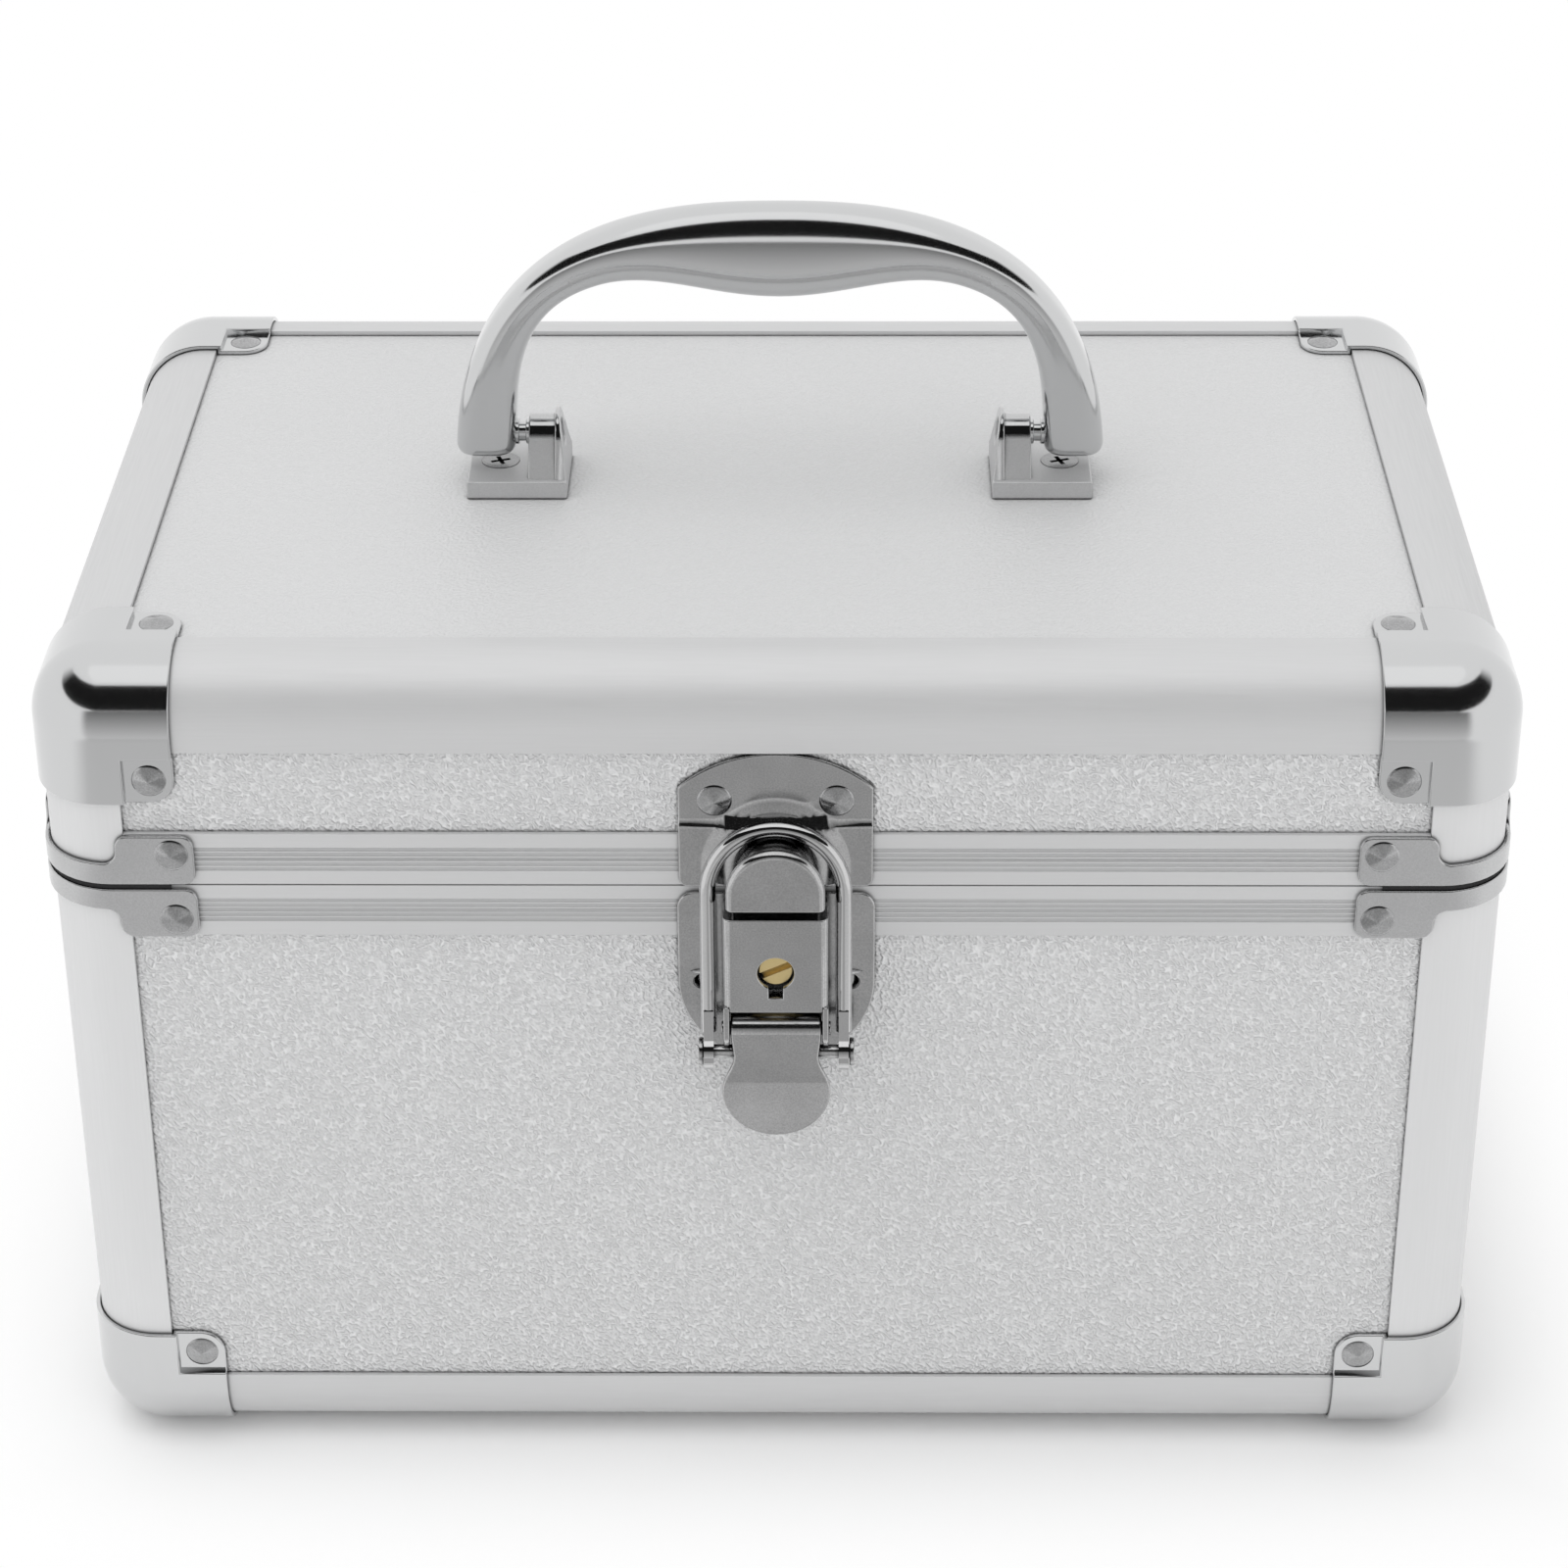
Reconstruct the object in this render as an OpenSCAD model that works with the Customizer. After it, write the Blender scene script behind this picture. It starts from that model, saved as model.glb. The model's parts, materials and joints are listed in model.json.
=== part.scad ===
/* [Case] */
// Width over the corner posts
case_w = 250; // [200:5:400]
// Depth over the corner posts
case_d = 160; // [140:5:280]
// Height of the body, from the underside of its rails to the parting line
body_h = 119; // [90:1:200]
// Height of the lid, from the parting line to the top of its rails
lid_h = 40; // [36:1:80]
// Gap between the shut lid and the body
part_gap = 0.2; // [0.1:0.1:0.4]

/* [Edge profiles] */
// Width of a post or rail on each of its two faces
rail_w = 14.5; // [13.5:0.5:18]
// Outer radius of a post or rail
rail_r = 12; // [9:0.5:12.5]
// Wall of the extruded profiles
wall = 1; // [0.8:0.1:1.2]
// Height of the closing frame at the parting line
frame_h = 10; // [10:0.5:12]
// Number of fine grooves along the closing frame
groove_count = 5; // [1:1:6]
// Spacing of the fine grooves
groove_pitch = 0.95; // [0.8:0.05:1]
// Depth of a fine groove
groove_depth = 0.3; // [0.2:0.1:0.4]
// Height of the tongue under the lid's closing frame
tongue_h = 1.4; // [1:0.1:1.8]
// Thickness of that tongue
tongue_t = 0.9; // [0.7:0.1:1.1]
// Clearance of the tongue in the body's groove, each side
tongue_fit = 0.4; // [0.35:0.05:0.5]

/* [Panels] */
// Thickness of the laminated panels
panel_t = 3; // [2.5:0.1:3.5]
// Clearance of a panel in its slot
panel_fit = 0.1; // [0.05:0.05:0.2]
// Thickness of the foam liner boards
liner_t = 1.5; // [1:0.1:3]
// Clearance round the liner boards
liner_fit = 0.3; // [0.2:0.1:1]

/* [Corner caps] */
// How far a cap reaches along each edge from the corner
cap_reach = 24; // [22.5:0.5:27]
// How far a cap stands proud of the rails
cap_t = 1; // [0.8:0.1:1.2]
// Clearance between a cap and the rails under it
cap_fit = 0.1; // [0.05:0.05:0.15]
// Radius of the free corner of a cap's face
cap_corner_r = 4.5; // [3:0.5:6]

/* [Corner straps] */
// Height of the band that runs round the post
band_h = 4; // [3:0.2:5]
// Height of the riveted flag at each end
flag_h = 9.4; // [8.5:0.1:9.6]
// Length of the flag along the frame
flag_w = 13.4; // [11:0.2:16]
// Corner radius of the flag
flag_r = 2.2; // [1:0.2:3]
// Sheet thickness of the strap
strap_t = 1; // [0.8:0.1:1.2]
// Distance of a strap from the parting line
strap_gap = 0.5; // [0.4:0.1:0.6]

/* [Rivets] */
// Radius of a rivet head
rivet_head_r = 2.95; // [2.4:0.05:3.1]
// Height of a rivet head
rivet_head_h = 0.9; // [0.6:0.1:1]
// Radius of a rivet shank
rivet_shank_r = 1.4; // [1.2:0.1:1.8]

/* [Latch] */
// Half width of the keeper plate on the lid
keeper_half_w = 16.5; // [15:0.5:20]
// Radius of the keeper's arched top
keeper_arc_r = 24; // [21:0.5:30]
// Height of the keeper above the parting line
keeper_h = 25.5; // [24:0.5:26]
// Radius of the keeper's nose lip
lip_r = 8.4; // [8:0.1:8.8]
// Height of the lip's top above the parting line
lip_top = 12.6; // [12.4:0.05:12.7]
// Standing height of the lip's front face above the frame
lip_front = 11; // [10.8:0.1:11.4]
// Thickness of the lip
lip_t = 1.6; // [1.4:0.1:1.8]
// Radius of the lip's rounded front edge
lip_edge_r = 1.2; // [0.6:0.1:1.3]
// Radius of the neck behind the lip
neck_r = 7.45; // [6.5:0.05:7.5]
// Radius of the bail wire
wire_r = 1.4; // [1.2:0.05:1.45]
// Half spacing of the bail's legs
bail_half = 11.55; // [11.4:0.05:12]
// How far the lip overhangs the bail's wire
hook_overlap = 0.6; // [0.4:0.05:0.6]
// Height of the wire's middle above the frame where it is hooked
hook_out = 4; // [3.8:0.1:4.2]
// Lever pivot: distance out from the frame
pivot_out = 8.2; // [8.1:0.05:8.3]
// Lever pivot: distance below the parting line
pivot_drop = 23.5; // [23.4:0.1:24]
// Cross pin: distance back from the lever pivot
throw_in = 0.4; // [0.3:0.05:0.5]
// Cross pin: distance below the lever pivot
throw_down = 5; // [4.9:0.05:5.1]
// Radius of the lever and cross pins
pin_r = 1.2; // [1:0.05:1.25]
// Running clearance of a pin in its hole, on the radius
pin_fit = 0.05; // [0.03:0.01:0.08]
// Half width of the base plate on the body
base_half_w = 16.9; // [16:0.1:18]
// Half width of the lock housing
housing_half_w = 8.95; // [8.9:0.05:9.1]
// Height of the lock housing
housing_h = 18.3; // [17.5:0.1:18.5]
// Standing height of the lock housing's front face above the frame
housing_out = 10.9; // [10.8:0.1:11.2]
// Sheet thickness of the latch parts
sheet_t = 1; // [0.9:0.05:1.1]
// Radius of the round part of the keyhole
keyhole_r = 3.1; // [2.9:0.1:3.3]

/* [Handle] */
// Overall width of the handle
handle_w = 117.6; // [108:0.4:126]
// Height of the handle above its pivot
handle_rise = 44; // [42:0.2:50]
// Height of the pivot above the top panel
handle_pivot_h = 9.3; // [9.2:0.1:10.5]
// Depth of the grip, front to back
grip_depth = 12.5; // [12:0.5:15]
// Thickness of the grip at its middle
grip_t = 17.2; // [15:0.2:18]
// How far the middle of the grip swells down into the palm
grip_swell = 4.4; // [2:0.2:6]
// Half length of that swelling
swell_half = 32; // [20:1:36]
// Thickness of a leg, side to side
leg_t = 11; // [10:0.2:12]
// Depth of a leg, front to back
leg_depth = 10.4; // [9:0.1:10.6]
// Radius of the handle pins
handle_pin_r = 2.4; // [2:0.1:2.6]
// Half depth of a bracket's foot
bracket_half_d = 9.5; // [8:0.5:11]
// Length of a bracket's foot along the case
foot_w = 18; // [17.8:0.1:19]
// Thickness of a bracket's foot
foot_t = 3.4; // [3:0.1:3.5]
// Thickness of a bracket's post
post_t = 7; // [5:0.5:8]
// Radius of the boss round the pin
boss_r = 3.3; // [3.2:0.1:3.6]
// Gap between a leg and the bracket's post
leg_gap = 2.4; // [1.6:0.2:3]
// How far the post's inner face leans over its height
post_draft = 1.6; // [0.4:0.2:2]
// How far the rim round the inner face stands out past the boss
rim_rise = 1.2; // [0.8:0.1:1.3]
// Thickness of that rim at its top
rim_t = 0.6; // [0.5:0.1:0.8]

/* [Hinges] */
// Half spacing of the two rear hinges
hinge_x = 72; // [60:1:80]
// Length of a hinge
hinge_len = 30; // [24:1:40]
// Thickness of a hinge leaf
leaf_t = 1; // [0.8:0.1:1.2]
// Height of a hinge leaf
leaf_h = 9.2; // [8:0.2:9.6]
// Outer radius of a knuckle
knuckle_r = 2.4; // [2.2:0.1:2.6]
// Radius of a hinge pin
hinge_pin_r = 1.2; // [1:0.1:1.4]
// Gap between a knuckle and the frames
knuckle_gap = 0.3; // [0.3:0.05:0.5]

/* [Hidden] */
$fn = 64;

// Overrun of a cutter past the face that it cuts
over = 1;
half_w = case_w / 2;
half_d = case_d / 2;
// The case stands on its caps, so the rails start one cap thickness up
floor_z = cap_t;
split_z = floor_z + body_h;
top_z = split_z + lid_h;
half_gap = part_gap / 2;

// Depths below the outer faces of the rails
slot_w = panel_t + panel_fit;
flange_d = wall + slot_w;
flange_back_d = flange_d + wall;
// Distance of a panel's edge from the outer face beside it
panel_inset = rail_r + panel_fit;
liner_inset = rail_w + liner_fit;
// Distance of a panel's edge from the parting line
panel_drop = frame_h / 2 + wall;
liner_drop = frame_h + liner_fit;

// Rivets of the caps sit in the middle of the pressed-in pads
pad_wall = cap_t - cap_fit;
pad_start = rail_w + cap_fit;
pad_floor = pad_start + pad_wall;
pad_mid = (pad_floor + cap_reach) / 2;
pad_d = wall - pad_wall;
flag_start = rail_r + strap_t;
strap_grip = strap_t + flange_back_d;
flag_margin = 0.9;
flag_rivet_share = 0.62;
strap_rivet_x = flag_start + flag_w - rivet_head_r - flag_margin;
strap_rivet_h = strap_gap + flag_h * flag_rivet_share;

// Latch places, with heights counted from the parting line
lip_mid = lip_top - lip_r;
nose_foot = 1.1;
neck_top = lip_mid + neck_r;
wire_mid = lip_top - hook_overlap + wire_r;
cross_out = pivot_out - throw_in;
cross_drop = pivot_drop + throw_down;
bail_run = hook_out - cross_out;
bail_climb = wire_mid + cross_drop;
bail_len = sqrt(bail_run * bail_run + bail_climb * bail_climb);
bail_lean = atan2(bail_run, bail_climb);
eye_t = 1.7;
eye_r = 3.2;
eye_play = 0.15;
eye_margin = 0.2;
eye_neck = 1;
pin_head_r = 2.4;
pin_head_t = 0.8;
housing_top = 0.5;
housing_foot = housing_top + housing_h;
housing_edge_r = 1.5;
inner_edge_share = 0.8;
key_drop = 11;
key_slot_half = 1.2;
key_slot_drop = 5;
ear_margin = 0.8;
lever_pin_past = 0.4;
barrel_wall = 1.8;
barrel_floor = 1;
plug_foot = 1.2;
screw_slot_w = 1.1;
screw_slot_d = 1.4;
screw_slot_turn = 25;
cam_gap = 0.3;
cam_hub = 1.4;
cam_arm_r = 2;
// The lever's face stands just proud of the housing's and runs free between its sides
lever_proud = 0.2;
lever_fit = 0.2;
knuckle_out = housing_out + lever_proud - pivot_out;
lever_t = 1.2;
lever_half = housing_half_w - sheet_t - lever_fit;
cheek_t = 1.2;
cheek_in = 0.1;
cheek_wall = 1.2;
cheek_inset = 0.5;
tab_half = 9.3;
tab_bend_r = 2;
tab_bend = 15;
tab_run = 9.4;
tab_drop = 11;
tab_start = pivot_drop + tab_drop - tab_bend_r;
tab_out = pivot_out + knuckle_out;
frame_clear = 0.3;
base_top = 0.9;
base_corner_r = 3;
base_bottom_mid = 18.5;
base_rivet_x = 12.7;
base_rivet_drop = 18.6;
keeper_foot = 0.3;
keeper_corner_r = 1.5;
keeper_rivet_x = 10.3;
keeper_rivet_h = 16.6;
// The keeper steps back to the panel above the frame, over a short slope
joggle_h = frame_h + 2;
joggle_run = 1.2;
joggle_ease = 0.4;
// Shallow dome of the keeper round its nose
dome_r = 13.1;
dome_rise = 2.3;
dome_ball = (dome_r * dome_r + dome_rise * dome_rise) / (2 * dome_rise);
plug_r = 2.85;
plug_play = 0.3;
plug_front = housing_out - sheet_t - plug_play;
barrel_front = 6;
cam_t = 1.2;
cam_r = 7.6;

// Handle places
panel_top = top_z - wall;
pivot_z = panel_top + handle_pivot_h;
foot_drop = 1.2;
leg_foot = pivot_z - foot_drop;
leg_out = handle_w / 2;
leg_in = leg_out - leg_t;
post_out = leg_in - leg_gap;
post_in = post_out - post_t;
pin_depth = 0.62 * leg_t;
pin_end = leg_in + pin_depth;
screw_x = (post_out + post_in + foot_w) / 2;
screw_head_r = 3.4;
screw_head_h = 1.9;
screw_r = 1.8;
groove_share = 0.78;
nut_t = 2.2;
cross_slot_w = 0.8;
cross_slot_d = 0.8;
cross_turn = 20;

// Hinge axis, behind the rear faces at the parting line
hinge_y = half_d + knuckle_gap + knuckle_r;
knuckle_gap_x = 0.25;
knuckle_share = 0.36;
hinge_rivet_share = 0.34;
knuckle_mid = hinge_len * knuckle_share;
hinge_rivet_x = hinge_len * hinge_rivet_share;
leaf_clear = 0.4;
leaf_past = 0.3;
leaf_start = knuckle_r + leaf_clear;
leaf_rivet_h = (leaf_start + leaf_h) * 0.55;
stop_r = 5.8;
stop_t = 1.8;

// Colours of the materials
pebbled = "#d4d6d8";
satin = "#dfe1e3";
chrome = "#c4c7ca";
brass = "#d8ad54";
foam = "#3c3e42";

// General placing

// Puts children on the far side of the case when on is true
module flip_x(on) {
    if (on) mirror([1, 0, 0]) children();
    else children();
}

module flip_y(on) {
    if (on) mirror([0, 1, 0]) children();
    else children();
}

// Lower corner: the axes run inwards from the outer faces of the rails
module lower_corner(right, rear) {
    flip_x(right) flip_y(rear) translate([-half_w, -half_d, floor_z]) children();
}

// Upper corner, the same with the third axis running down from the top
module upper_corner(right, rear) {
    flip_x(right) flip_y(rear) translate([-half_w, -half_d, top_z]) mirror([0, 0, 1]) children();
}

// Draws in the plane of the front face: across, up from the parting line, out from the frame
module on_front() {
    translate([0, -half_d, split_z]) rotate([90, 0, 0]) children();
}

// Extrudes a side view across the case: out from the frame, up from the parting line
module side_view(width) {
    translate([0, -half_d, split_z]) rotate([90, 0, -90]) linear_extrude(width, center = true) children();
}

// A bar between two depths out from the frame, lying across the case at a place of the side view
module cross_bar(out, up, radius, width) {
    translate([0, -half_d - out, split_z + up]) rotate([0, 90, 0])
        cylinder(r = radius, h = width, center = true);
}

// Square that starts at the origin, with the corner there rounded
module round_square(side, radius) {
    intersection() {
        square(side);
        union() {
            translate([radius, radius]) circle(radius);
            translate([radius, 0]) square(side);
            translate([0, radius]) square(side);
        }
    }
}

// Rectangle with four round corners
module round_rect(width, height, radius) {
    translate([radius, 0]) square([width - 2 * radius, height]);
    translate([0, radius]) square([width, height - 2 * radius]);
    for (x = [radius, width - radius], y = [radius, height - radius]) translate([x, y]) circle(radius);
}

// Half round above a straight foot, about its own middle
module arch_shape(radius, foot) {
    intersection() {
        circle(radius);
        translate([-radius, 0]) square([2 * radius, radius]);
    }
    if (foot > 0) translate([-radius, -foot]) square([2 * radius, foot]);
}

// Rivet standing on a surface, its head towards positive Z
module rivet(grip) {
    head_ball = (rivet_head_r * rivet_head_r + rivet_head_h * rivet_head_h) / (2 * rivet_head_h);
    intersection() {
        translate([0, 0, rivet_head_h - head_ball]) sphere(head_ball);
        cylinder(r = rivet_head_r, h = rivet_head_h);
    }
    translate([0, 0, -grip]) cylinder(r = rivet_shank_r, h = grip + rivet_head_h / 2);
}

module rivet_hole(depth) {
    translate([0, 0, -depth]) cylinder(r = rivet_shank_r, h = depth + over);
}

// Edge profiles

// Section of a post or rail, measured inwards from its two outer faces
module edge_profile() {
    difference() {
        round_square(rail_w, rail_r);
        translate([wall, wall]) round_square(rail_w, rail_r - wall);
    }
    intersection() {
        round_square(rail_w, rail_r);
        union() {
            translate([flange_d, flange_d]) square([rail_w - flange_d, wall]);
            translate([flange_d, flange_d]) square([wall, rail_w - flange_d]);
            translate([rail_r - wall, 0]) square([wall, flange_back_d]);
            translate([0, rail_r - wall]) square([flange_back_d, wall]);
        }
    }
}

module rail_along_x() {
    translate([0, -half_d, 0]) rotate([90, 0, 90])
        linear_extrude(case_w - 2 * rail_w, center = true) edge_profile();
}

module rail_along_y() {
    translate([-half_w, 0, 0]) rotate([90, 0, 0])
        linear_extrude(case_d - 2 * rail_w, center = true) edge_profile();
}

module lower_rail(along_y, far) {
    color(satin) translate([0, 0, floor_z])
        if (along_y) flip_x(far) rail_along_y();
        else flip_y(far) rail_along_x();
}

module upper_rail(along_y, far) {
    color(satin) translate([0, 0, top_z]) mirror([0, 0, 1])
        if (along_y) flip_x(far) rail_along_y();
        else flip_y(far) rail_along_x();
}

// Four posts between two heights
module posts(low, high) {
    for (right = [false, true], rear = [false, true])
        flip_x(right) flip_y(rear) translate([-half_w, -half_d, low])
            linear_extrude(high - low) edge_profile();
}

module body_posts() {
    color(satin) posts(floor_z + rail_w, split_z - half_gap);
}

module lid_posts() {
    color(satin) posts(split_z + half_gap, top_z - rail_w);
}

// Closing frame

// Section of the body's frame: depth from the outer face, distance from the parting line
module frame_profile() {
    first = frame_h / 2 - groove_pitch * (groove_count - 1) / 2;
    difference() {
        union() {
            translate([0, half_gap]) square([wall, frame_h - half_gap]);
            translate([flange_d, half_gap]) square([wall, frame_h - half_gap]);
            translate([0, half_gap]) square([flange_back_d, frame_h / 2 - half_gap]);
        }
        for (i = [0 : groove_count - 1])
            translate([0, first + i * groove_pitch]) circle(groove_depth);
    }
}

// Middle depth of the tongue and its groove
tongue_d = flange_back_d / 2;

module body_frame_profile() {
    difference() {
        frame_profile();
        translate([tongue_d - tongue_t / 2 - tongue_fit, 0])
            square([tongue_t + 2 * tongue_fit, tongue_h + half_gap + tongue_fit]);
    }
}

module lid_frame_profile() {
    frame_profile();
    translate([tongue_d - tongue_t / 2, -tongue_h]) square([tongue_t, tongue_h + wall]);
}

// Frame bar of the front side; its section is measured downwards for the body
module frame_bar(length) {
    rotate([90, 0, 90]) linear_extrude(length, center = true) children();
}

module strap_rivet_points(length) {
    for (side = [-1, 1]) translate([side * (length / 2 - strap_rivet_x), 0, 0]) children();
}

// Drills the frame of one side for the rivets of two straps, as long as the case on that side
module strap_rivet_holes(case_side) {
    strap_rivet_points(case_side) translate([0, 0, strap_rivet_h]) rotate([90, 0, 0])
        rivet_hole(flange_back_d + over);
}

// One side's frame bar in its own place: the outer face on y = 0, the parting line on z = 0
module frame_side(case_side, lid) {
    difference() {
        frame_bar(case_side - 2 * rail_w) if (lid) lid_frame_profile(); else body_frame_profile();
        strap_rivet_holes(case_side);
        children();
    }
}

module lid_frame(along_y, far) {
    color(satin) translate([0, 0, split_z])
        if (along_y) flip_x(far) translate([-half_w, 0, 0]) rotate([0, 0, -90]) frame_side(case_d, true);
        else flip_y(far) translate([0, -half_d, 0]) frame_side(case_w, true);
}

module body_frame(along_y, far) {
    color(satin) translate([0, 0, split_z]) mirror([0, 0, 1])
        if (along_y) flip_x(far) translate([-half_w, 0, 0]) rotate([0, 0, -90]) frame_side(case_d, false);
        else flip_y(far) translate([0, -half_d, 0]) frame_side(case_w, false);
}

// Frames of the front and rear are drilled for the latch and the hinges too
module front_or_rear_frame(lid, rear) {
    difference() {
        if (lid) lid_frame(false, rear); else body_frame(false, rear);
        if (rear) hinge_rivet_places(lid) rivet_hole(flange_back_d + over);
    }
}

// Corner straps

// Plan of the strap round a post, as a shell outside the rail faces
module strap_plan() {
    reach = flag_start + flag_w;
    difference() {
        translate([-strap_t, -strap_t]) round_square(reach + strap_t, rail_r + strap_t);
        round_square(reach + over, rail_r);
    }
}

// Front view of one flag with the band that leads to it
module flag_view() {
    reach = flag_start + flag_w;
    neck_fillet = flag_h - band_h - flag_r / 4;
    translate([-strap_t, 0]) square([reach - flag_r + strap_t, band_h]);
    translate([flag_start, 0]) round_rect(flag_w, flag_h, flag_r);
    difference() {
        translate([flag_start - neck_fillet / 2, 0]) square([flag_w / 2, band_h + neck_fillet / 2]);
        translate([flag_start - neck_fillet / 2, band_h + neck_fillet / 2]) circle(neck_fillet / 2);
    }
}

// Strap of one corner: axes inwards from the rail faces and away from the parting line
module corner_strap() {
    reach = flag_start + flag_w;
    difference() {
        intersection() {
            linear_extrude(flag_h) strap_plan();
            union() {
                translate([0, rail_r, 0]) rotate([90, 0, 0])
                    linear_extrude(rail_r + strap_t + over) flag_view();
                translate([-strap_t - over, 0, 0]) rotate([90, 0, 90])
                    linear_extrude(rail_r + strap_t + over) flag_view();
            }
        }
        strap_rivet_spots() rivet_hole(strap_t + over);
    }
}

// Places of its two rivets, on its outer faces
module strap_rivet_spots() {
    height = strap_rivet_h - strap_gap;
    translate([strap_rivet_x, -strap_t, height]) rotate([90, 0, 0]) children();
    translate([-strap_t, strap_rivet_x, height]) rotate([0, -90, 0]) children();
}

module at_straps(lid) {
    for (right = [false, true], rear = [false, true])
        flip_x(right) flip_y(rear)
            if (lid) translate([-half_w, -half_d, split_z + strap_gap]) children();
            else translate([-half_w, -half_d, split_z - strap_gap]) mirror([0, 0, 1]) children();
}

module body_straps() {
    color(chrome) at_straps(false) corner_strap();
}

module lid_straps() {
    color(chrome) at_straps(true) corner_strap();
}

// Corner caps

// Block with its three edges at the origin rounded, and the corner between them a ball
module ball_block(side, radius) {
    intersection() {
        cube(side);
        translate([radius, radius, radius]) {
            sphere(radius);
            cylinder(r = radius, h = side);
            rotate([0, 90, 0]) cylinder(r = radius, h = side);
            rotate([-90, 0, 0]) cylinder(r = radius, h = side);
            translate([0, 0, -radius]) cube([side, side, 2 * side]);
            translate([0, -radius, 0]) cube([side, 2 * side, side]);
            translate([-radius, 0, 0]) cube([2 * side, side, side]);
        }
    }
}

// Trims the free corner of a cap's face to a radius
module cap_corner_cutter() {
    edge = cap_reach - cap_corner_r;
    translate([0, 0, -cap_t - over]) linear_extrude(cap_t + wall + 2 * over) difference() {
        translate([edge, edge]) square(cap_corner_r + over);
        translate([edge, edge]) circle(cap_corner_r);
    }
}

// Pad that is pressed in to meet the panel
module cap_pad() {
    side = cap_reach - pad_start;
    translate([pad_start, pad_start, -cap_fit]) cube([side, side, wall + cap_fit]);
}

module cap_pad_cutter() {
    translate([pad_floor, pad_floor, -cap_t - over])
        cube([cap_reach, cap_reach, cap_t + over + pad_d]);
}

// Cap with its corner at the origin, on the outer faces of the rails
module corner_cap() {
    difference() {
        union() {
            difference() {
                translate([-cap_t, -cap_t, -cap_t]) ball_block(cap_reach + cap_t, rail_r + cap_t);
                translate([-cap_fit, -cap_fit, -cap_fit])
                    ball_block(cap_reach + cap_fit + over, rail_r + cap_fit);
            }
            each_face() cap_pad();
        }
        each_face() {
            cap_corner_cutter();
            cap_pad_cutter();
            translate([pad_mid, pad_mid, 0]) cylinder(r = rivet_shank_r, h = wall + over);
        }
    }
}

// Repeats what stands on the third face on all three faces; the face's two axes may swap
module each_face() {
    children();
    mirror([1, 0, -1]) children();
    mirror([0, 1, -1]) children();
}

// Rivets of one cap, heads outwards
module cap_rivets() {
    each_face() translate([pad_mid, pad_mid, pad_d]) mirror([0, 0, 1]) rivet(pad_wall + panel_t);
}

// Holes that they need in the panels
module cap_rivet_holes() {
    each_face() translate([pad_mid, pad_mid, 0]) mirror([0, 0, 1]) rivet_hole(wall + panel_t + over);
}

module at_lower_corners() {
    for (right = [false, true], rear = [false, true]) lower_corner(right, rear) children();
}

module at_upper_corners() {
    for (right = [false, true], rear = [false, true]) upper_corner(right, rear) children();
}

module lower_cap(right, rear) {
    color(chrome) lower_corner(right, rear) corner_cap();
}

module upper_cap(right, rear) {
    color(chrome) upper_corner(right, rear) corner_cap();
}

// Panels

module panel_blank(low, high) {
    color(pebbled) translate(low) cube(high - low);
}

module bottom_panel() {
    difference() {
        panel_blank([-half_w + panel_inset, -half_d + panel_inset, floor_z + wall],
            [half_w - panel_inset, half_d - panel_inset, floor_z + wall + panel_t]);
        at_lower_corners() cap_rivet_holes();
    }
}

module lid_top_panel() {
    difference() {
        panel_blank([-half_w + panel_inset, -half_d + panel_inset, panel_top - panel_t],
            [half_w - panel_inset, half_d - panel_inset, panel_top]);
        at_upper_corners() cap_rivet_holes();
        for (side = [-1, 1]) translate([side * screw_x, 0, panel_top - panel_t - over])
            cylinder(r = screw_r, h = panel_t + 2 * over);
    }
}

// Front panel between two heights, and its copies on the other sides
module long_panel(low, high) {
    panel_blank([-half_w + panel_inset, -half_d + wall, low],
        [half_w - panel_inset, -half_d + wall + panel_t, high]);
}

module short_panel(low, high) {
    panel_blank([-half_w + wall, -half_d + panel_inset, low],
        [-half_w + wall + panel_t, half_d - panel_inset, high]);
}

body_panel_low = floor_z + panel_inset;
body_panel_high = split_z - panel_drop;
lid_panel_low = split_z + panel_drop;
lid_panel_high = top_z - panel_inset;

// Rivets of the straps go through the panels, in the frame's slot
module strap_holes_through_panels() {
    for (lid = [false, true]) at_straps(lid) strap_rivet_spots() rivet_hole(strap_grip + over);
}

module front_panel() {
    difference() {
        long_panel(body_panel_low, body_panel_high);
        at_lower_corners() cap_rivet_holes();
        strap_holes_through_panels();
        base_rivet_places() rivet_hole(base_grip + over);
    }
}

module rear_panel() {
    difference() {
        flip_y(true) long_panel(body_panel_low, body_panel_high);
        at_lower_corners() cap_rivet_holes();
        strap_holes_through_panels();
        hinge_rivet_places(false) rivet_hole(flange_back_d + over);
    }
}

module side_panel(right) {
    difference() {
        flip_x(right) short_panel(body_panel_low, body_panel_high);
        at_lower_corners() cap_rivet_holes();
        strap_holes_through_panels();
    }
}

module left_panel() {
    side_panel(false);
}

module right_panel() {
    side_panel(true);
}

module lid_front_panel() {
    difference() {
        long_panel(lid_panel_low, lid_panel_high);
        at_upper_corners() cap_rivet_holes();
        strap_holes_through_panels();
        keeper_rivet_places() rivet_hole(keeper_grip + over);
    }
}

module lid_rear_panel() {
    difference() {
        flip_y(true) long_panel(lid_panel_low, lid_panel_high);
        at_upper_corners() cap_rivet_holes();
        strap_holes_through_panels();
        hinge_rivet_places(true) rivet_hole(flange_back_d + over);
    }
}

module lid_side_panel(right) {
    difference() {
        flip_x(right) short_panel(lid_panel_low, lid_panel_high);
        at_upper_corners() cap_rivet_holes();
        strap_holes_through_panels();
    }
}

module lid_left_panel() {
    lid_side_panel(false);
}

module lid_right_panel() {
    lid_side_panel(true);
}

// Liner boards on the inner faces of the panels
liner_d = wall + panel_t;

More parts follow.
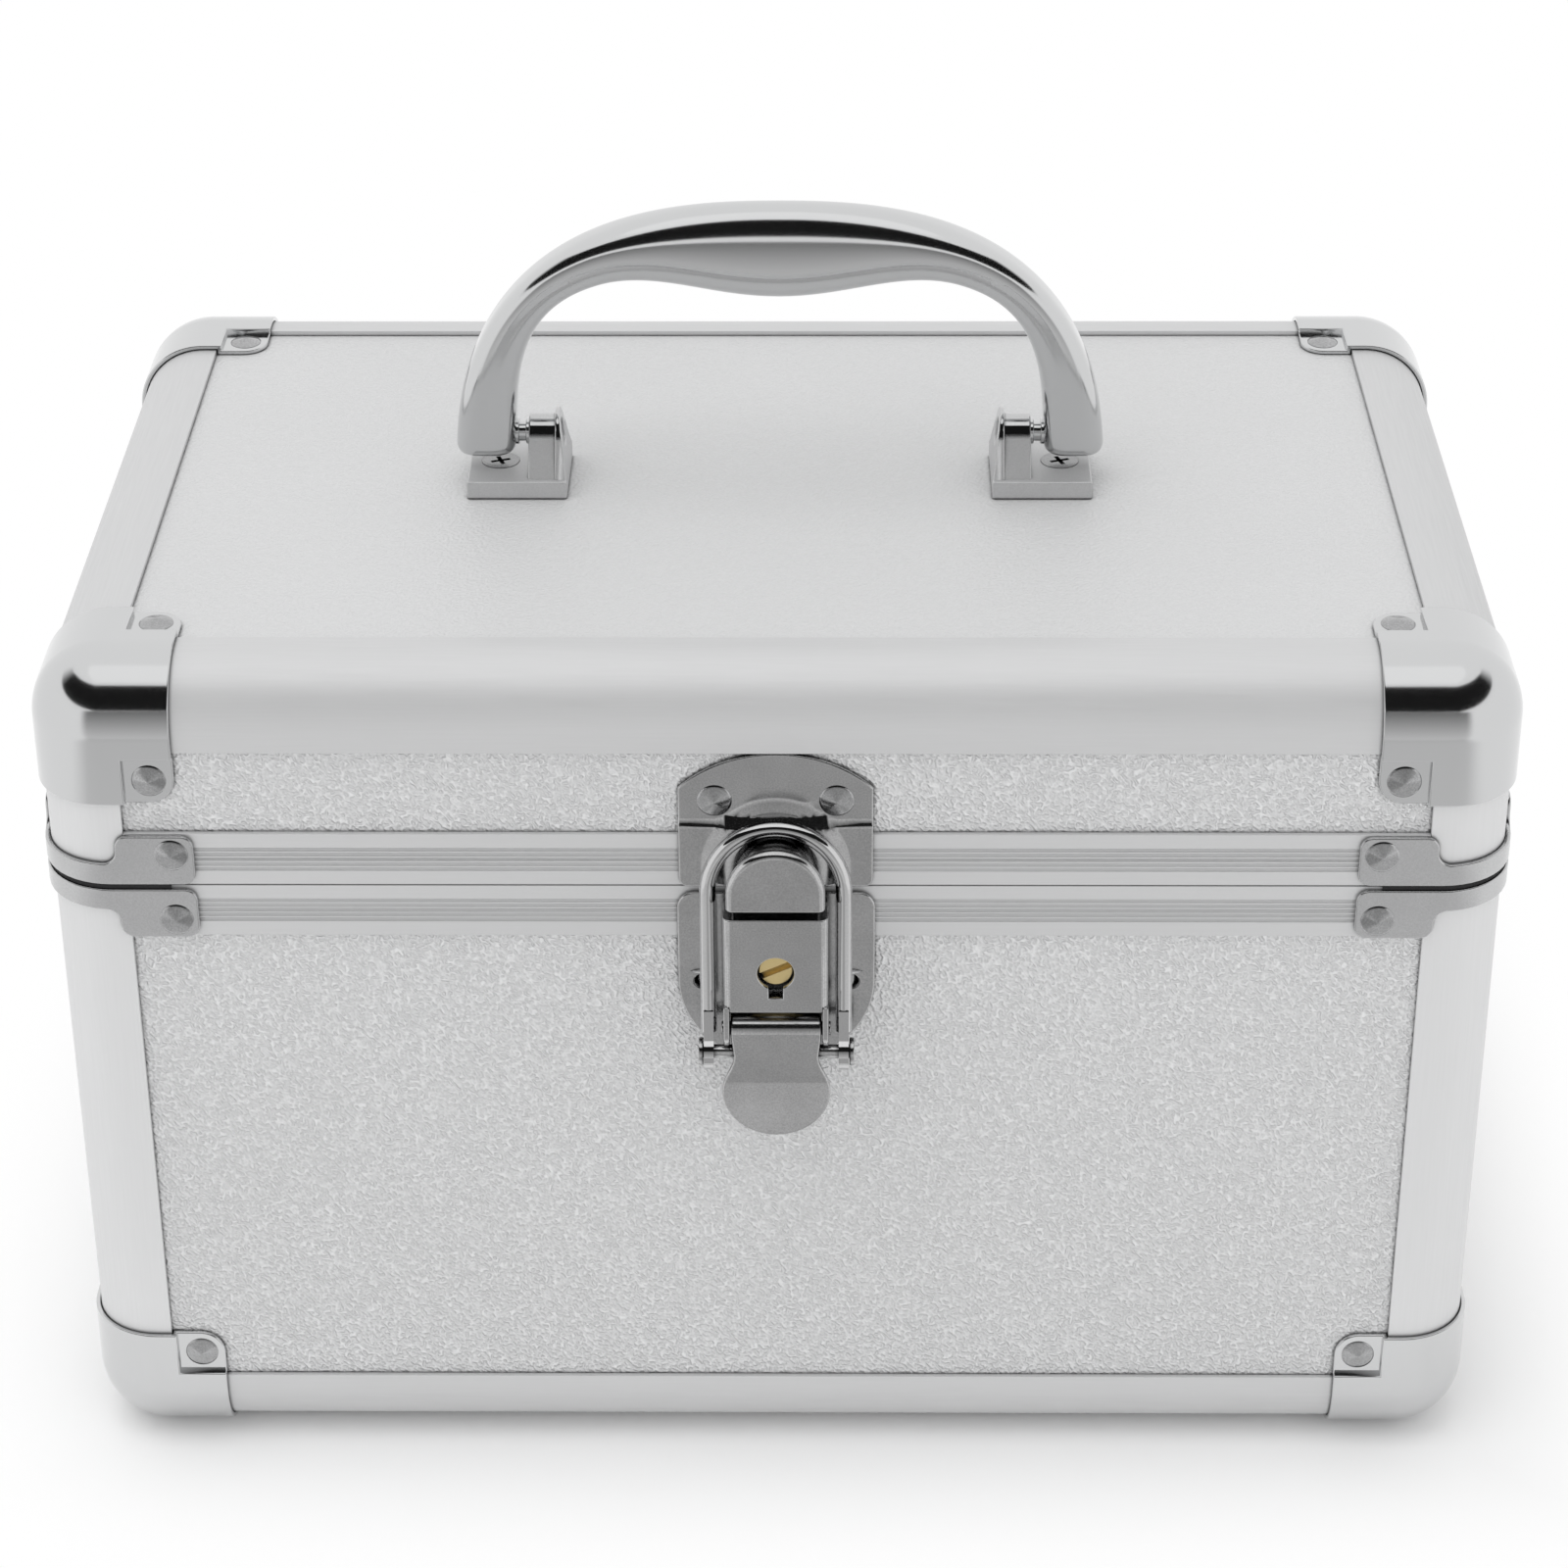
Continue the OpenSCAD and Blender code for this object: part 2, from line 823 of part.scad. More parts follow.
module liner_walls(low, high) {
    for (far = [false, true]) {
        flip_y(far) translate([-half_w + liner_inset, -half_d + liner_d, low])
            cube([case_w - 2 * liner_inset, liner_t, high - low]);
        flip_x(far) translate([-half_w + liner_d, -half_d + liner_inset, low])
            cube([liner_t, case_d - 2 * liner_inset, high - low]);
    }
}

module body_liner() {
    color(foam) {
        liner_walls(floor_z + liner_inset, split_z - liner_drop);
        translate([-half_w + liner_inset, -half_d + liner_inset, floor_z + liner_d])
            cube([case_w - 2 * liner_inset, case_d - 2 * liner_inset, liner_t]);
    }
}

module lid_liner() {
    color(foam) {
        liner_walls(split_z + liner_drop, top_z - liner_inset);
        difference() {
            translate([-half_w + liner_inset, -half_d + liner_inset, top_z - liner_d - liner_t])
                cube([case_w - 2 * liner_inset, case_d - 2 * liner_inset, liner_t]);
            for (side = [-1, 1]) translate([side * screw_x, 0, top_z - liner_d - liner_t - over])
                cylinder(r = screw_head_r + liner_fit, h = liner_t + 2 * over);
        }
    }
}

// Latch

// Rivet places of the keeper, on its upper part
keeper_grip = wall + panel_t;

module keeper_rivet_places() {
    on_front() for (side = [-1, 1]) translate([side * keeper_rivet_x, keeper_rivet_h, 0]) children();
}

// Front view of the keeper plate
module keeper_view() {
    intersection() {
        translate([0, keeper_h - keeper_arc_r]) circle(keeper_arc_r);
        translate([-keeper_half_w, keeper_foot]) round_rect(2 * keeper_half_w, 2 * keeper_h, keeper_corner_r);
    }
}

// Side view: the upper part lies on the panel, the lower part steps out over the frame
module keeper_side() {
    back_h = joggle_h - joggle_ease - sheet_t / 2;
    polygon([[0, 0], [sheet_t, 0], [sheet_t, joggle_h], [sheet_t - wall, joggle_h + joggle_run],
        [sheet_t - wall, keeper_h], [-wall, keeper_h], [-wall, back_h + joggle_run], [0, back_h]]);
}

// Cushion-shaped lip: a flat face with a rounded rim
module nose_lip() {
    back = lip_front - lip_t;
    foot = lip_mid - nose_foot;
    inner = lip_r - lip_edge_r;
    translate([0, 0, back]) {
        linear_extrude(lip_t - lip_edge_r) arch_shape(lip_r, foot);
        linear_extrude(lip_t) arch_shape(inner, foot);
        translate([0, 0, lip_t - lip_edge_r]) {
            intersection() {
                rotate_extrude() translate([inner, 0]) circle(lip_edge_r);
                translate([-lip_r - over, 0, -over]) cube([2 * (lip_r + over), lip_r + over, 2 * lip_t]);
            }
            for (side = [-1, 1]) translate([side * inner, 0, 0]) rotate([90, 0, 0])
                cylinder(r = lip_edge_r, h = foot);
        }
    }
}

// Dome whose rim lies on a face at the given distance out from the frame
module dome_ball_at(face_out) {
    translate([0, lip_mid, face_out + dome_rise - dome_ball]) sphere(dome_ball);
}

// The dome is stepped with the plate: its lower part ends in a slope that follows its roundness
module keeper_dome() {
    step_up = joggle_h - lip_mid;
    step_round = sqrt(dome_ball * dome_ball - step_up * step_up);
    step_out = sheet_t + dome_rise - dome_ball + step_round;
    slope_turn = atan2(joggle_run, wall);
    slope_r = step_round / sin(slope_turn);
    intersection() {
        dome_ball_at(sheet_t);
        translate([0, joggle_h - slope_r * cos(slope_turn), step_out - slope_r * sin(slope_turn)])
            rotate([slope_turn, 0, 0]) cylinder(r = slope_r, h = 4 * dome_ball, center = true);
        translate([-dome_r, nose_foot, 0]) cube([2 * dome_r, dome_r + lip_mid, 2 * dome_rise]);
    }
    intersection() {
        dome_ball_at(sheet_t - wall);
        translate([-dome_r, joggle_h, -wall / 2]) cube([2 * dome_r, dome_r, 2 * dome_rise]);
    }
}

module keeper_plate() {
    color(chrome) difference() {
        union() {
            intersection() {
                on_front() translate([0, 0, -wall]) linear_extrude(wall + sheet_t) keeper_view();
                side_view(2 * keeper_half_w) keeper_side();
            }
            on_front() translate([0, lip_mid, 0]) {
                translate([0, 0, sheet_t / 2]) linear_extrude(lip_front - lip_t - sheet_t / 4)
                    arch_shape(neck_r, lip_mid - nose_foot);
                nose_lip();
            }
            on_front() keeper_dome();
        }
        keeper_rivet_places() rivet_hole(over);
    }
}

// Rivet places of the base plate, low on its sides
base_grip = wall + panel_t;

module base_rivet_places() {
    on_front() for (side = [-1, 1]) translate([side * base_rivet_x, -base_rivet_drop, 0]) children();
}

// Front view of the base plate, drawn in by a margin
module base_view(margin) {
    half = base_half_w - margin;
    height = base_bottom_mid - base_top;
    translate([-half, -base_bottom_mid]) square([2 * half, height - base_corner_r]);
    translate([-half, -base_bottom_mid]) round_rect(2 * half, height - margin, base_corner_r);
    translate([0, -base_bottom_mid]) mirror([0, 1]) arch_shape(half, 0);
}

module latch_base_plate() {
    color(chrome) difference() {
        union() {
            on_front() linear_extrude(sheet_t) base_view(0);
            on_front() translate([0, 0, -wall]) linear_extrude(wall + sheet_t / 2) intersection() {
                difference() {
                    base_view(0);
                    base_view(sheet_t);
                }
                translate([-base_half_w, -2 * base_half_w - frame_h - frame_clear])
                    square([2 * base_half_w, 2 * base_half_w]);
            }
            base_rivet_places() translate([0, 0, -wall]) cylinder(r = rivet_head_r, h = wall + sheet_t / 2);
        }
        base_rivet_places() rivet_hole(wall + over);
    }
}

// Plan of the lock housing: a channel with rounded front corners
module housing_plan(margin) {
    half = housing_half_w - margin;
    radius = housing_edge_r - margin * inner_edge_share;
    translate([-half, 0]) square([2 * half, housing_out - margin - radius]);
    translate([-half + radius, 0]) square([2 * (half - radius), housing_out - margin]);
    for (side = [-1, 1]) translate([side * (half - radius), housing_out - margin - radius]) circle(radius);
}

// Ear that carries the lever pin, in side view
module ear_view() {
    ear_r = throw_down - pin_r - ear_margin;
    translate([pivot_out, -pivot_drop]) circle(ear_r);
    polygon([[sheet_t, -housing_foot + over], [pivot_out + ear_r, -housing_foot + over],
        [pivot_out + ear_r, -pivot_drop], [pivot_out, -pivot_drop - ear_r],
        [sheet_t, -pivot_drop - ear_r + over]]);
}

module lock_housing() {
    color(chrome) difference() {
        union() {
            translate([0, -half_d, split_z - housing_foot]) rotate([0, 0, 180]) mirror([1, 0, 0])
                linear_extrude(housing_h) difference() {
                    housing_plan(0);
                    housing_plan(sheet_t);
                }
            translate([0, -half_d, split_z - housing_top - sheet_t]) rotate([0, 0, 180]) mirror([1, 0, 0])
                linear_extrude(sheet_t) housing_plan(0);
            for (side = [-1, 1]) translate([side * (housing_half_w - sheet_t / 2), 0, 0])
                side_view(sheet_t) ear_view();
        }
        translate([-half_w, -half_d - sheet_t, split_z - housing_foot - housing_h])
            cube([case_w, sheet_t + over, 2 * housing_h]);
        on_front() translate([0, -key_drop, sheet_t]) {
            cylinder(r = keyhole_r, h = housing_out);
            translate([-key_slot_half, -key_slot_drop, 0]) cube([2 * key_slot_half, key_slot_drop, housing_out]);
        }
        cross_bar(pivot_out, -pivot_drop, pin_r, 2 * housing_half_w + over);
    }
}

// Pin that the lever turns on, riveted into the ears
module lever_pin() {
    color(chrome) cross_bar(pivot_out, -pivot_drop, pin_r, 2 * (housing_half_w + lever_pin_past));
}

// Sleeve behind the housing's face that the plug turns in
module lock_barrel() {
    color(brass) on_front() translate([0, -key_drop, sheet_t]) difference() {
        cylinder(r = plug_r + barrel_wall, h = barrel_front - sheet_t);
        translate([0, 0, barrel_floor]) cylinder(r = plug_r + pin_fit, h = barrel_front);
    }
}

module lock_plug() {
    color(brass) on_front() translate([0, -key_drop, 0]) difference() {
        translate([0, 0, sheet_t + plug_foot]) cylinder(r = plug_r, h = plug_front - sheet_t - plug_foot);
        translate([0, 0, plug_front]) rotate([0, 0, screw_slot_turn])
            cube([2 * (plug_r + over), screw_slot_w, 2 * screw_slot_d], center = true);
    }
}

// Cam on the plug, between the sleeve and the housing's face
module lock_cam() {
    color(chrome) on_front() translate([0, -key_drop, barrel_front + cam_gap]) difference() {
        linear_extrude(cam_t) {
            circle(plug_r + cam_hub);
            translate([0, -cam_arm_r]) square([cam_r - cam_arm_r, 2 * cam_arm_r]);
            translate([cam_r - cam_arm_r, 0]) circle(cam_arm_r);
        }
        translate([0, 0, -over]) cylinder(r = plug_r, h = cam_t + 2 * over);
    }
}

// Lever

// The lever's face narrows to a waist, widens to the tab and ends in half an ellipse
tab_tip = tab_start - pivot_drop + tab_bend_r * sin(tab_bend) + tab_run * cos(tab_bend);
waist_drop = 4;
waist_in = 0.5;
waist_half = lever_half - waist_in;
tab_steps = 12;
function flank(i) = let (t = i / tab_steps)
    [waist_half + (tab_half - waist_half) * (1 - cos(180 * t)) / 2, waist_drop + (tab_drop - waist_drop) * t];
function tip(i) = let (a = 90 * i / tab_steps) [tab_half * cos(a), tab_drop + (tab_tip - tab_drop) * sin(a)];

module lever_view() {
    half_outline = concat([[lever_half, -2 * knuckle_out], [lever_half, 0]],
        [for (i = [0 : tab_steps]) flank(i)], [for (i = [1 : tab_steps]) tip(i)]);
    for (side = [-1, 1]) polygon(concat([for (p = half_outline) [side * p[0], -pivot_drop - p[1]]],
        [[0, -pivot_drop + 2 * knuckle_out]]));
}

// Side view of the bent sheet: knuckle, straight face and a tab that flares behind a crease
module lever_sheet() {
    bend_mid = [tab_out + tab_bend_r, -tab_start];
    outer_bend_r = tab_bend_r + lever_t;
    difference() {
        translate([pivot_out, -pivot_drop]) circle(knuckle_out);
        translate([pivot_out, -pivot_drop]) circle(knuckle_out - lever_t);
        translate([pivot_out - 2 * knuckle_out, -pivot_drop - 2 * knuckle_out])
            square([2 * knuckle_out, 2 * knuckle_out]);
        translate([pivot_out - over, -pivot_drop - 2 * knuckle_out])
            square([2 * knuckle_out, 2 * knuckle_out]);
    }
    translate([tab_out - lever_t, -tab_start]) square([lever_t, tab_start - pivot_drop]);
    translate(bend_mid) intersection() {
        difference() {
            circle(outer_bend_r);
            circle(tab_bend_r);
        }
        rotate(180) square(2 * outer_bend_r);
        rotate(90 + tab_bend) square(2 * outer_bend_r);
    }
    translate(bend_mid) rotate(tab_bend) translate([-outer_bend_r, -2 * tab_run]) square([lever_t, 2 * tab_run]);
}

// Side view of a cheek, round both pins and back to the sheet
module cheek_view() {
    cheek_r = knuckle_out - cheek_in;
    hub_r = pin_r + cheek_wall;
    sheet_mid = tab_out - lever_t / 2;
    translate([pivot_out, -pivot_drop]) circle(cheek_r);
    translate([cross_out, -cross_drop]) circle(hub_r);
    polygon([[pivot_out, -pivot_drop + cheek_r], [sheet_mid, -pivot_drop], [sheet_mid, -cross_drop - hub_r],
        [cross_out, -cross_drop - hub_r], [cross_out - hub_r, -cross_drop], [pivot_out - cheek_r, -pivot_drop]]);
}

module lever() {
    color(chrome) difference() {
        union() {
            intersection() {
                on_front() linear_extrude(3 * tab_out) lever_view();
                side_view(2 * tab_half) lever_sheet();
            }
            for (side = [-1, 1]) translate([side * (lever_half - cheek_inset - cheek_t / 2), 0, 0])
                side_view(cheek_t) cheek_view();
        }
        cross_bar(pivot_out, -pivot_drop, pin_r + pin_fit, 2 * tab_half);
        cross_bar(cross_out, -cross_drop, pin_r, 2 * tab_half);
    }
}

// Pin through the lever's cheeks that the bail hangs on, with small heads outside
module cross_pin() {
    head_x = bail_half + eye_t / 2 + eye_play;
    color(chrome) {
        cross_bar(cross_out, -cross_drop, pin_r, 2 * head_x + pin_head_t);
        for (side = [-1, 1]) translate([side * (head_x + pin_head_t / 2), 0, 0])
            cross_bar(cross_out, -cross_drop, pin_head_r, pin_head_t);
    }
}

// Bail, drawn upright about its pin and then leant towards the hook
module bail() {
    arch_mid = bail_len - bail_half;
    eye_top = eye_r + eye_neck;
    eye_half = wire_r + eye_margin;
    color(chrome) translate([0, -half_d - cross_out, split_z - cross_drop]) rotate([bail_lean, 0, 0])
        difference() {
            union() {
                for (side = [-1, 1]) translate([side * bail_half, 0, 0]) {
                    translate([0, 0, eye_top]) cylinder(r = wire_r, h = arch_mid - eye_top);
                    rotate([0, 90, 0]) cylinder(r = eye_r, h = eye_t, center = true);
                    translate([-eye_t / 2, -eye_half, 0]) cube([eye_t, 2 * eye_half, 2 * eye_top]);
                }
                translate([0, 0, arch_mid]) rotate([90, 0, 0]) intersection() {
                    rotate_extrude() translate([bail_half, 0]) circle(wire_r);
                    translate([-2 * bail_half, 0, -2 * wire_r])
                        cube([4 * bail_half, 2 * bail_half, 4 * wire_r]);
                }
            }
            rotate([0, 90, 0]) cylinder(r = pin_r + pin_fit, h = 4 * bail_half, center = true);
        }
}

// Handle

// Loft of the handle: the outer outline is a rounder superellipse than the inner one
outer_power = 2.45;
inner_power = 4.4;
outer_base_drop = 8.7;
outer_base = pivot_z - outer_base_drop;
outer_top = pivot_z + handle_rise;
inner_top = outer_top - grip_t + grip_swell;
first_angle = asin(pow((leg_foot - outer_base) / (outer_top - outer_base), outer_power / 2));
// The inner outline's points run ahead of the outer's, so that the sections stay square to the handle
lead = 0.15;
lead_power = 3.7;
handle_steps = 54;
ring_steps = 20;
// The rounded end of a leg: how much each ring shrinks and how far it lies below the straight part
foot_shares = [[0.78, 1.9], [0.93, 1.3]];
// A section's softness, at the legs and at the grip: 1 gives an ellipse, less gives a rounded square
leg_power = 0.62;
grip_power = 0.88;
// How far below its middle the grip's section is widest, as a share of its half height
grip_low = 0.45;

function along(t) = first_angle + (180 - 2 * first_angle) * t;
function share_up(c, power) = pow(1 - pow(abs(c), power), 1 / power);
function outer_share(t) = let (c = cos(along(t))) sign(c) * pow(abs(c), 2 / outer_power);
function inner_share(c) = c * (1 + lead * (1 - pow(abs(c), lead_power)));
function swell_at(x) = abs(x) > swell_half ? 0 : grip_swell * (1 + cos(x / swell_half * 180)) / 2;
function outer_point(t) =
    let (c = outer_share(t)) [leg_out * c, outer_base + (outer_top - outer_base) * share_up(c, outer_power)];
inner_foot = share_up(inner_share(outer_share(0)), inner_power);
inner_base = (leg_foot - inner_top * inner_foot) / (1 - inner_foot);
function inner_point(t) =
    let (c = inner_share(outer_share(t)), x = leg_in * c)
    [x, inner_base + (inner_top - inner_base) * share_up(c, inner_power) - swell_at(x)];
function grip_share(t) = pow(sin(180 * t), 6);
function between(first, second, share) = first + (second - first) * share;
function depth_at(t) = between(leg_depth, grip_depth, grip_share(t)) / 2;
function soft(v, power) = sign(v) * pow(abs(v), power);
function section_turn(j) = j * 360 / ring_steps;
function handle_ring(t, share, drop) =
    let (o = outer_point(t), i = inner_point(t), mid = (o + i) / 2, half = (o - i) / 2 * share)
    [for (j = [0 : ring_steps - 1])
        let (power = between(leg_power, grip_power, grip_share(t)), low = grip_low * grip_share(t),
            rise = soft(cos(section_turn(j)), power), c = rise * (1 + low * sign(rise)) - low,
            s = soft(sin(section_turn(j)), power), d = depth_at(t) * share)
        [mid[0] + half[0] * c, d * s, mid[1] + half[1] * c - drop]];
handle_rings = concat([for (f = foot_shares) handle_ring(0, f[0], f[1])],
    [for (i = [0 : handle_steps]) handle_ring(i / handle_steps, 1, 0)],
    [for (i = [len(foot_shares) - 1 : -1 : 0]) handle_ring(1, foot_shares[i][0], foot_shares[i][1])]);

module handle_loft() {
    count = len(handle_rings);
    points = [for (ring = handle_rings, p = ring) p];
    sides = [for (i = [0 : count - 2], j = [0 : ring_steps - 1])
        let (k = (j + 1) % ring_steps, a = i * ring_steps)
        each [[a + j, a + k, a + ring_steps + k], [a + j, a + ring_steps + k, a + ring_steps + j]]];
    ends = [for (j = [1 : ring_steps - 2]) each [[0, j + 1, j],
        [(count - 1) * ring_steps, (count - 1) * ring_steps + j, (count - 1) * ring_steps + j + 1]]];
    polyhedron(points, concat(sides, ends));
}

module handle() {
    color(chrome) difference() {
        handle_loft();
        for (side = [-1, 1]) translate([side * pin_end / 2, 0, pivot_z]) rotate([0, 90, 0])
            cylinder(r = handle_pin_r, h = pin_end, center = true);
    }
}

// Pins pressed into the legs, each with a groove beside the bracket
module handle_pins() {
    groove_w = leg_gap / 2;
    color(chrome) for (right = [false, true])
        flip_x(right) translate([-pin_end, 0, pivot_z]) rotate([0, 90, 0]) difference() {
            cylinder(r = handle_pin_r, h = pin_end - post_in - post_draft);
            translate([0, 0, pin_depth + groove_w / 2]) difference() {
                cylinder(r = handle_pin_r + over, h = groove_w);
                cylinder(r = handle_pin_r * groove_share, h = groove_w);
            }
        }
}

// How far the web's sides run into the round head, so that they cross its outline
web_bite = 0.05;

// Side view of the bracket's post: a round head on a tapering web
module bracket_view(head_r) {
    web_r = head_r - web_bite;
    base_y = bracket_half_d;
    rise = handle_pivot_h - foot_t / 2;
    reach = sqrt(base_y * base_y + rise * rise);
    turn = atan2(rise, base_y) + asin(web_r / reach);
    touch = sqrt(reach * reach - web_r * web_r);
    tangent_y = base_y - touch * cos(turn);
    tangent_z = touch * sin(turn);
    translate([0, rise]) circle(head_r);
    polygon([[-base_y, 0], [base_y, 0], [tangent_y, tangent_z], [-tangent_y, tangent_z]]);
}

// Front view of what the draft takes off the post's inner face
module draft_wedge() {
    low = panel_top + foot_t;
    high = pivot_z + boss_r + rim_rise + over;
    polygon([[post_in, low], [post_in + post_draft, high], [post_in - over, high], [post_in - over, low]]);
}

module handle_bracket(right) {
    color(chrome) flip_x(!right) difference() {
        union() {
            translate([post_in, -bracket_half_d, panel_top]) cube([foot_w, 2 * bracket_half_d, foot_t]);
            translate([post_in, 0, panel_top + foot_t / 2]) rotate([90, 0, 90]) {
                linear_extrude(post_t) bracket_view(boss_r);
                linear_extrude(post_draft + rim_t) bracket_view(boss_r + rim_rise);
            }
        }
        rotate([90, 0, 0]) linear_extrude(4 * bracket_half_d, center = true) draft_wedge();
        translate([post_in - over, 0, pivot_z]) rotate([0, 90, 0])
            cylinder(r = handle_pin_r + pin_fit, h = post_t + 2 * over);
        translate([screw_x, 0, panel_top - over]) cylinder(r = screw_r, h = foot_t + 2 * over);
        translate([screw_x, 0, panel_top + foot_t - screw_head_h])
            cylinder(r1 = screw_r, r2 = screw_head_r, h = screw_head_h);
        translate([screw_x, 0, panel_top + foot_t]) cylinder(r = screw_head_r, h = foot_t);
    }
}

module handle_bracket_left() {
    handle_bracket(false);
}

module handle_bracket_right() {
    handle_bracket(true);
}

// Countersunk screws, each with a round nut inside the lid
module bracket_screws() {
    nut_top = panel_top - panel_t;
    color(chrome) for (side = [-1, 1]) translate([side * screw_x, 0, 0]) difference() {
        union() {
            translate([0, 0, panel_top + foot_t - screw_head_h])
                cylinder(r1 = screw_r, r2 = screw_head_r, h = screw_head_h);
            translate([0, 0, nut_top - nut_t]) cylinder(r = screw_r, h = panel_top + foot_t - nut_top);
            translate([0, 0, nut_top - nut_t]) cylinder(r = screw_head_r, h = nut_t);
        }
        for (turn = [0, 90]) translate([0, 0, panel_top + foot_t]) rotate([0, 0, turn + cross_turn])
            cube([2 * screw_r, cross_slot_w, 2 * cross_slot_d], center = true);
    }
}

// Hinges

module at_hinges() {
    for (side = [-1, 1]) translate([side * hinge_x, 0, 0]) children();
}

// Rivet places of one leaf of each hinge, in the frame behind it
module hinge_rivet_places(lid) {
    height = (lid ? 1 : -1) * leaf_rivet_h;
    at_hinges() for (side = [-1, 1]) translate([side * hinge_rivet_x, half_d, split_z + height])
        rotate([-90, 0, 0]) children();
}

module hinge_barrel(length) {
    translate([0, hinge_y, split_z]) rotate([0, 90, 0]) cylinder(r = knuckle_r, h = length, center = true);
}

// Leaf plate that stops short of the knuckles; a tab leads to its own knuckle
module leaf_plate(low, high) {
    translate([-hinge_len / 2, half_d, low]) cube([hinge_len, leaf_t, high - low]);
}

module leaf_tab(length, up) {
    root_h = knuckle_r * 0.8;
    translate([-length / 2, half_d, up ? split_z + half_gap : split_z - knuckle_r - over])
        cube([length, leaf_t, knuckle_r + over - half_gap]);
    translate([-length / 2, half_d + knuckle_gap, up ? split_z : split_z - root_h])
        cube([length, knuckle_r * 0.6, root_h]);
}

knuckle_end = (hinge_len - knuckle_mid) / 2 - knuckle_gap_x;

module leaf_hole() {
    rotate([-90, 0, 0]) translate([0, 0, -over]) cylinder(r = rivet_shank_r, h = leaf_t + 2 * over);
}

module lower_hinge_leaves() {
    color(chrome) at_hinges() difference() {
        union() {
            leaf_plate(split_z - leaf_h - leaf_past, split_z - leaf_start);
            for (side = [-1, 1]) translate([side * (hinge_len - knuckle_end) / 2, 0, 0]) {
                leaf_tab(knuckle_end, false);
                hinge_barrel(knuckle_end);
            }
        }
        translate([0, hinge_y, split_z]) rotate([0, 90, 0])
            cylinder(r = hinge_pin_r, h = hinge_len + over, center = true);
        for (side = [-1, 1]) translate([side * hinge_rivet_x, half_d, split_z - leaf_rivet_h]) leaf_hole();
    }
}

// Upper leaves, each with the tongue that stops the open lid against the lower leaf
module upper_hinge_leaves() {
    color(chrome) at_hinges() difference() {
        union() {
            leaf_plate(split_z + leaf_start, split_z + leaf_h + leaf_past);
            leaf_tab(knuckle_mid, true);
            hinge_barrel(knuckle_mid);
            translate([-knuckle_mid / 2, hinge_y, split_z - stop_t / 2]) cube([knuckle_mid, stop_r, stop_t]);
        }
        translate([0, hinge_y, split_z]) rotate([0, 90, 0])
            cylinder(r = hinge_pin_r + pin_fit, h = hinge_len + over, center = true);
        for (side = [-1, 1]) translate([side * hinge_rivet_x, half_d, split_z + leaf_rivet_h]) leaf_hole();
    }
}

module hinge_pins() {
    color(chrome) at_hinges() translate([0, hinge_y, split_z]) rotate([0, 90, 0])
        cylinder(r = hinge_pin_r, h = hinge_len, center = true);
}

// Rivets, one group for the body and one for the lid

module hinge_rivets(lid) {
    hinge_rivet_places(lid) translate([0, 0, leaf_t]) rivet(leaf_t + flange_back_d);
}

module body_rivets() {
    color(chrome) {
        at_lower_corners() cap_rivets();
        at_straps(false) strap_rivet_spots() rivet(strap_grip);
        base_rivet_places() translate([0, 0, sheet_t]) rivet(sheet_t + base_grip);
        hinge_rivets(false);
    }
}

module lid_rivets() {
    color(chrome) {
        at_upper_corners() cap_rivets();
        at_straps(true) strap_rivet_spots() rivet(strap_grip);
        keeper_rivet_places() translate([0, 0, sheet_t - wall]) rivet(sheet_t - wall + keeper_grip);
        hinge_rivets(true);
    }
}

// Named pieces of the sides and corners

module bottom_rail_front() {
    lower_rail(false, false);
}

module bottom_rail_rear() {
    lower_rail(false, true);
}

module bottom_rail_left() {
    lower_rail(true, false);
}

module bottom_rail_right() {
    lower_rail(true, true);
}

module top_rail_front() {
    upper_rail(false, false);
}

module top_rail_rear() {
    upper_rail(false, true);
}

module top_rail_left() {
    upper_rail(true, false);
}

module top_rail_right() {
    upper_rail(true, true);
}

module body_frame_front() {
    front_or_rear_frame(false, false);
}

module body_frame_rear() {
    front_or_rear_frame(false, true);
}

module body_frame_left() {
    body_frame(true, false);
}

module body_frame_right() {
    body_frame(true, true);
}

module lid_frame_front() {
    front_or_rear_frame(true, false);
}

module lid_frame_rear() {
    front_or_rear_frame(true, true);
}

module lid_frame_left() {
    lid_frame(true, false);
}

module lid_frame_right() {
    lid_frame(true, true);
}

module bottom_cap_front_left() {
    lower_cap(false, false);
}

module bottom_cap_front_right() {
    lower_cap(true, false);
}

module bottom_cap_rear_left() {
    lower_cap(false, true);
}

module bottom_cap_rear_right() {
    lower_cap(true, true);
}

module top_cap_front_left() {
    upper_cap(false, false);
}

module top_cap_front_right() {
    upper_cap(true, false);
}

module top_cap_rear_left() {
    upper_cap(false, true);
}

module top_cap_rear_right() {
    upper_cap(true, true);
}

bottom_panel();
front_panel();
rear_panel();
left_panel();
right_panel();
body_posts();
bottom_rail_front();
bottom_rail_rear();
bottom_rail_left();
bottom_rail_right();
body_frame_front();
body_frame_rear();
body_frame_left();
body_frame_right();
body_straps();
bottom_cap_front_left();
bottom_cap_front_right();
bottom_cap_rear_left();
bottom_cap_rear_right();
body_rivets();
body_liner();
latch_base_plate();
lock_housing();
lock_barrel();
lever_pin();
lower_hinge_leaves();
hinge_pins();
lid_top_panel();
lid_front_panel();
lid_rear_panel();
lid_left_panel();
lid_right_panel();
lid_posts();
top_rail_front();
top_rail_rear();
top_rail_left();
top_rail_right();
lid_frame_front();
lid_frame_rear();
lid_frame_left();
lid_frame_right();
lid_straps();
top_cap_front_left();
top_cap_front_right();
top_cap_rear_left();
top_cap_rear_right();
lid_rivets();
lid_liner();
keeper_plate();
handle_bracket_left();
handle_bracket_right();
bracket_screws();
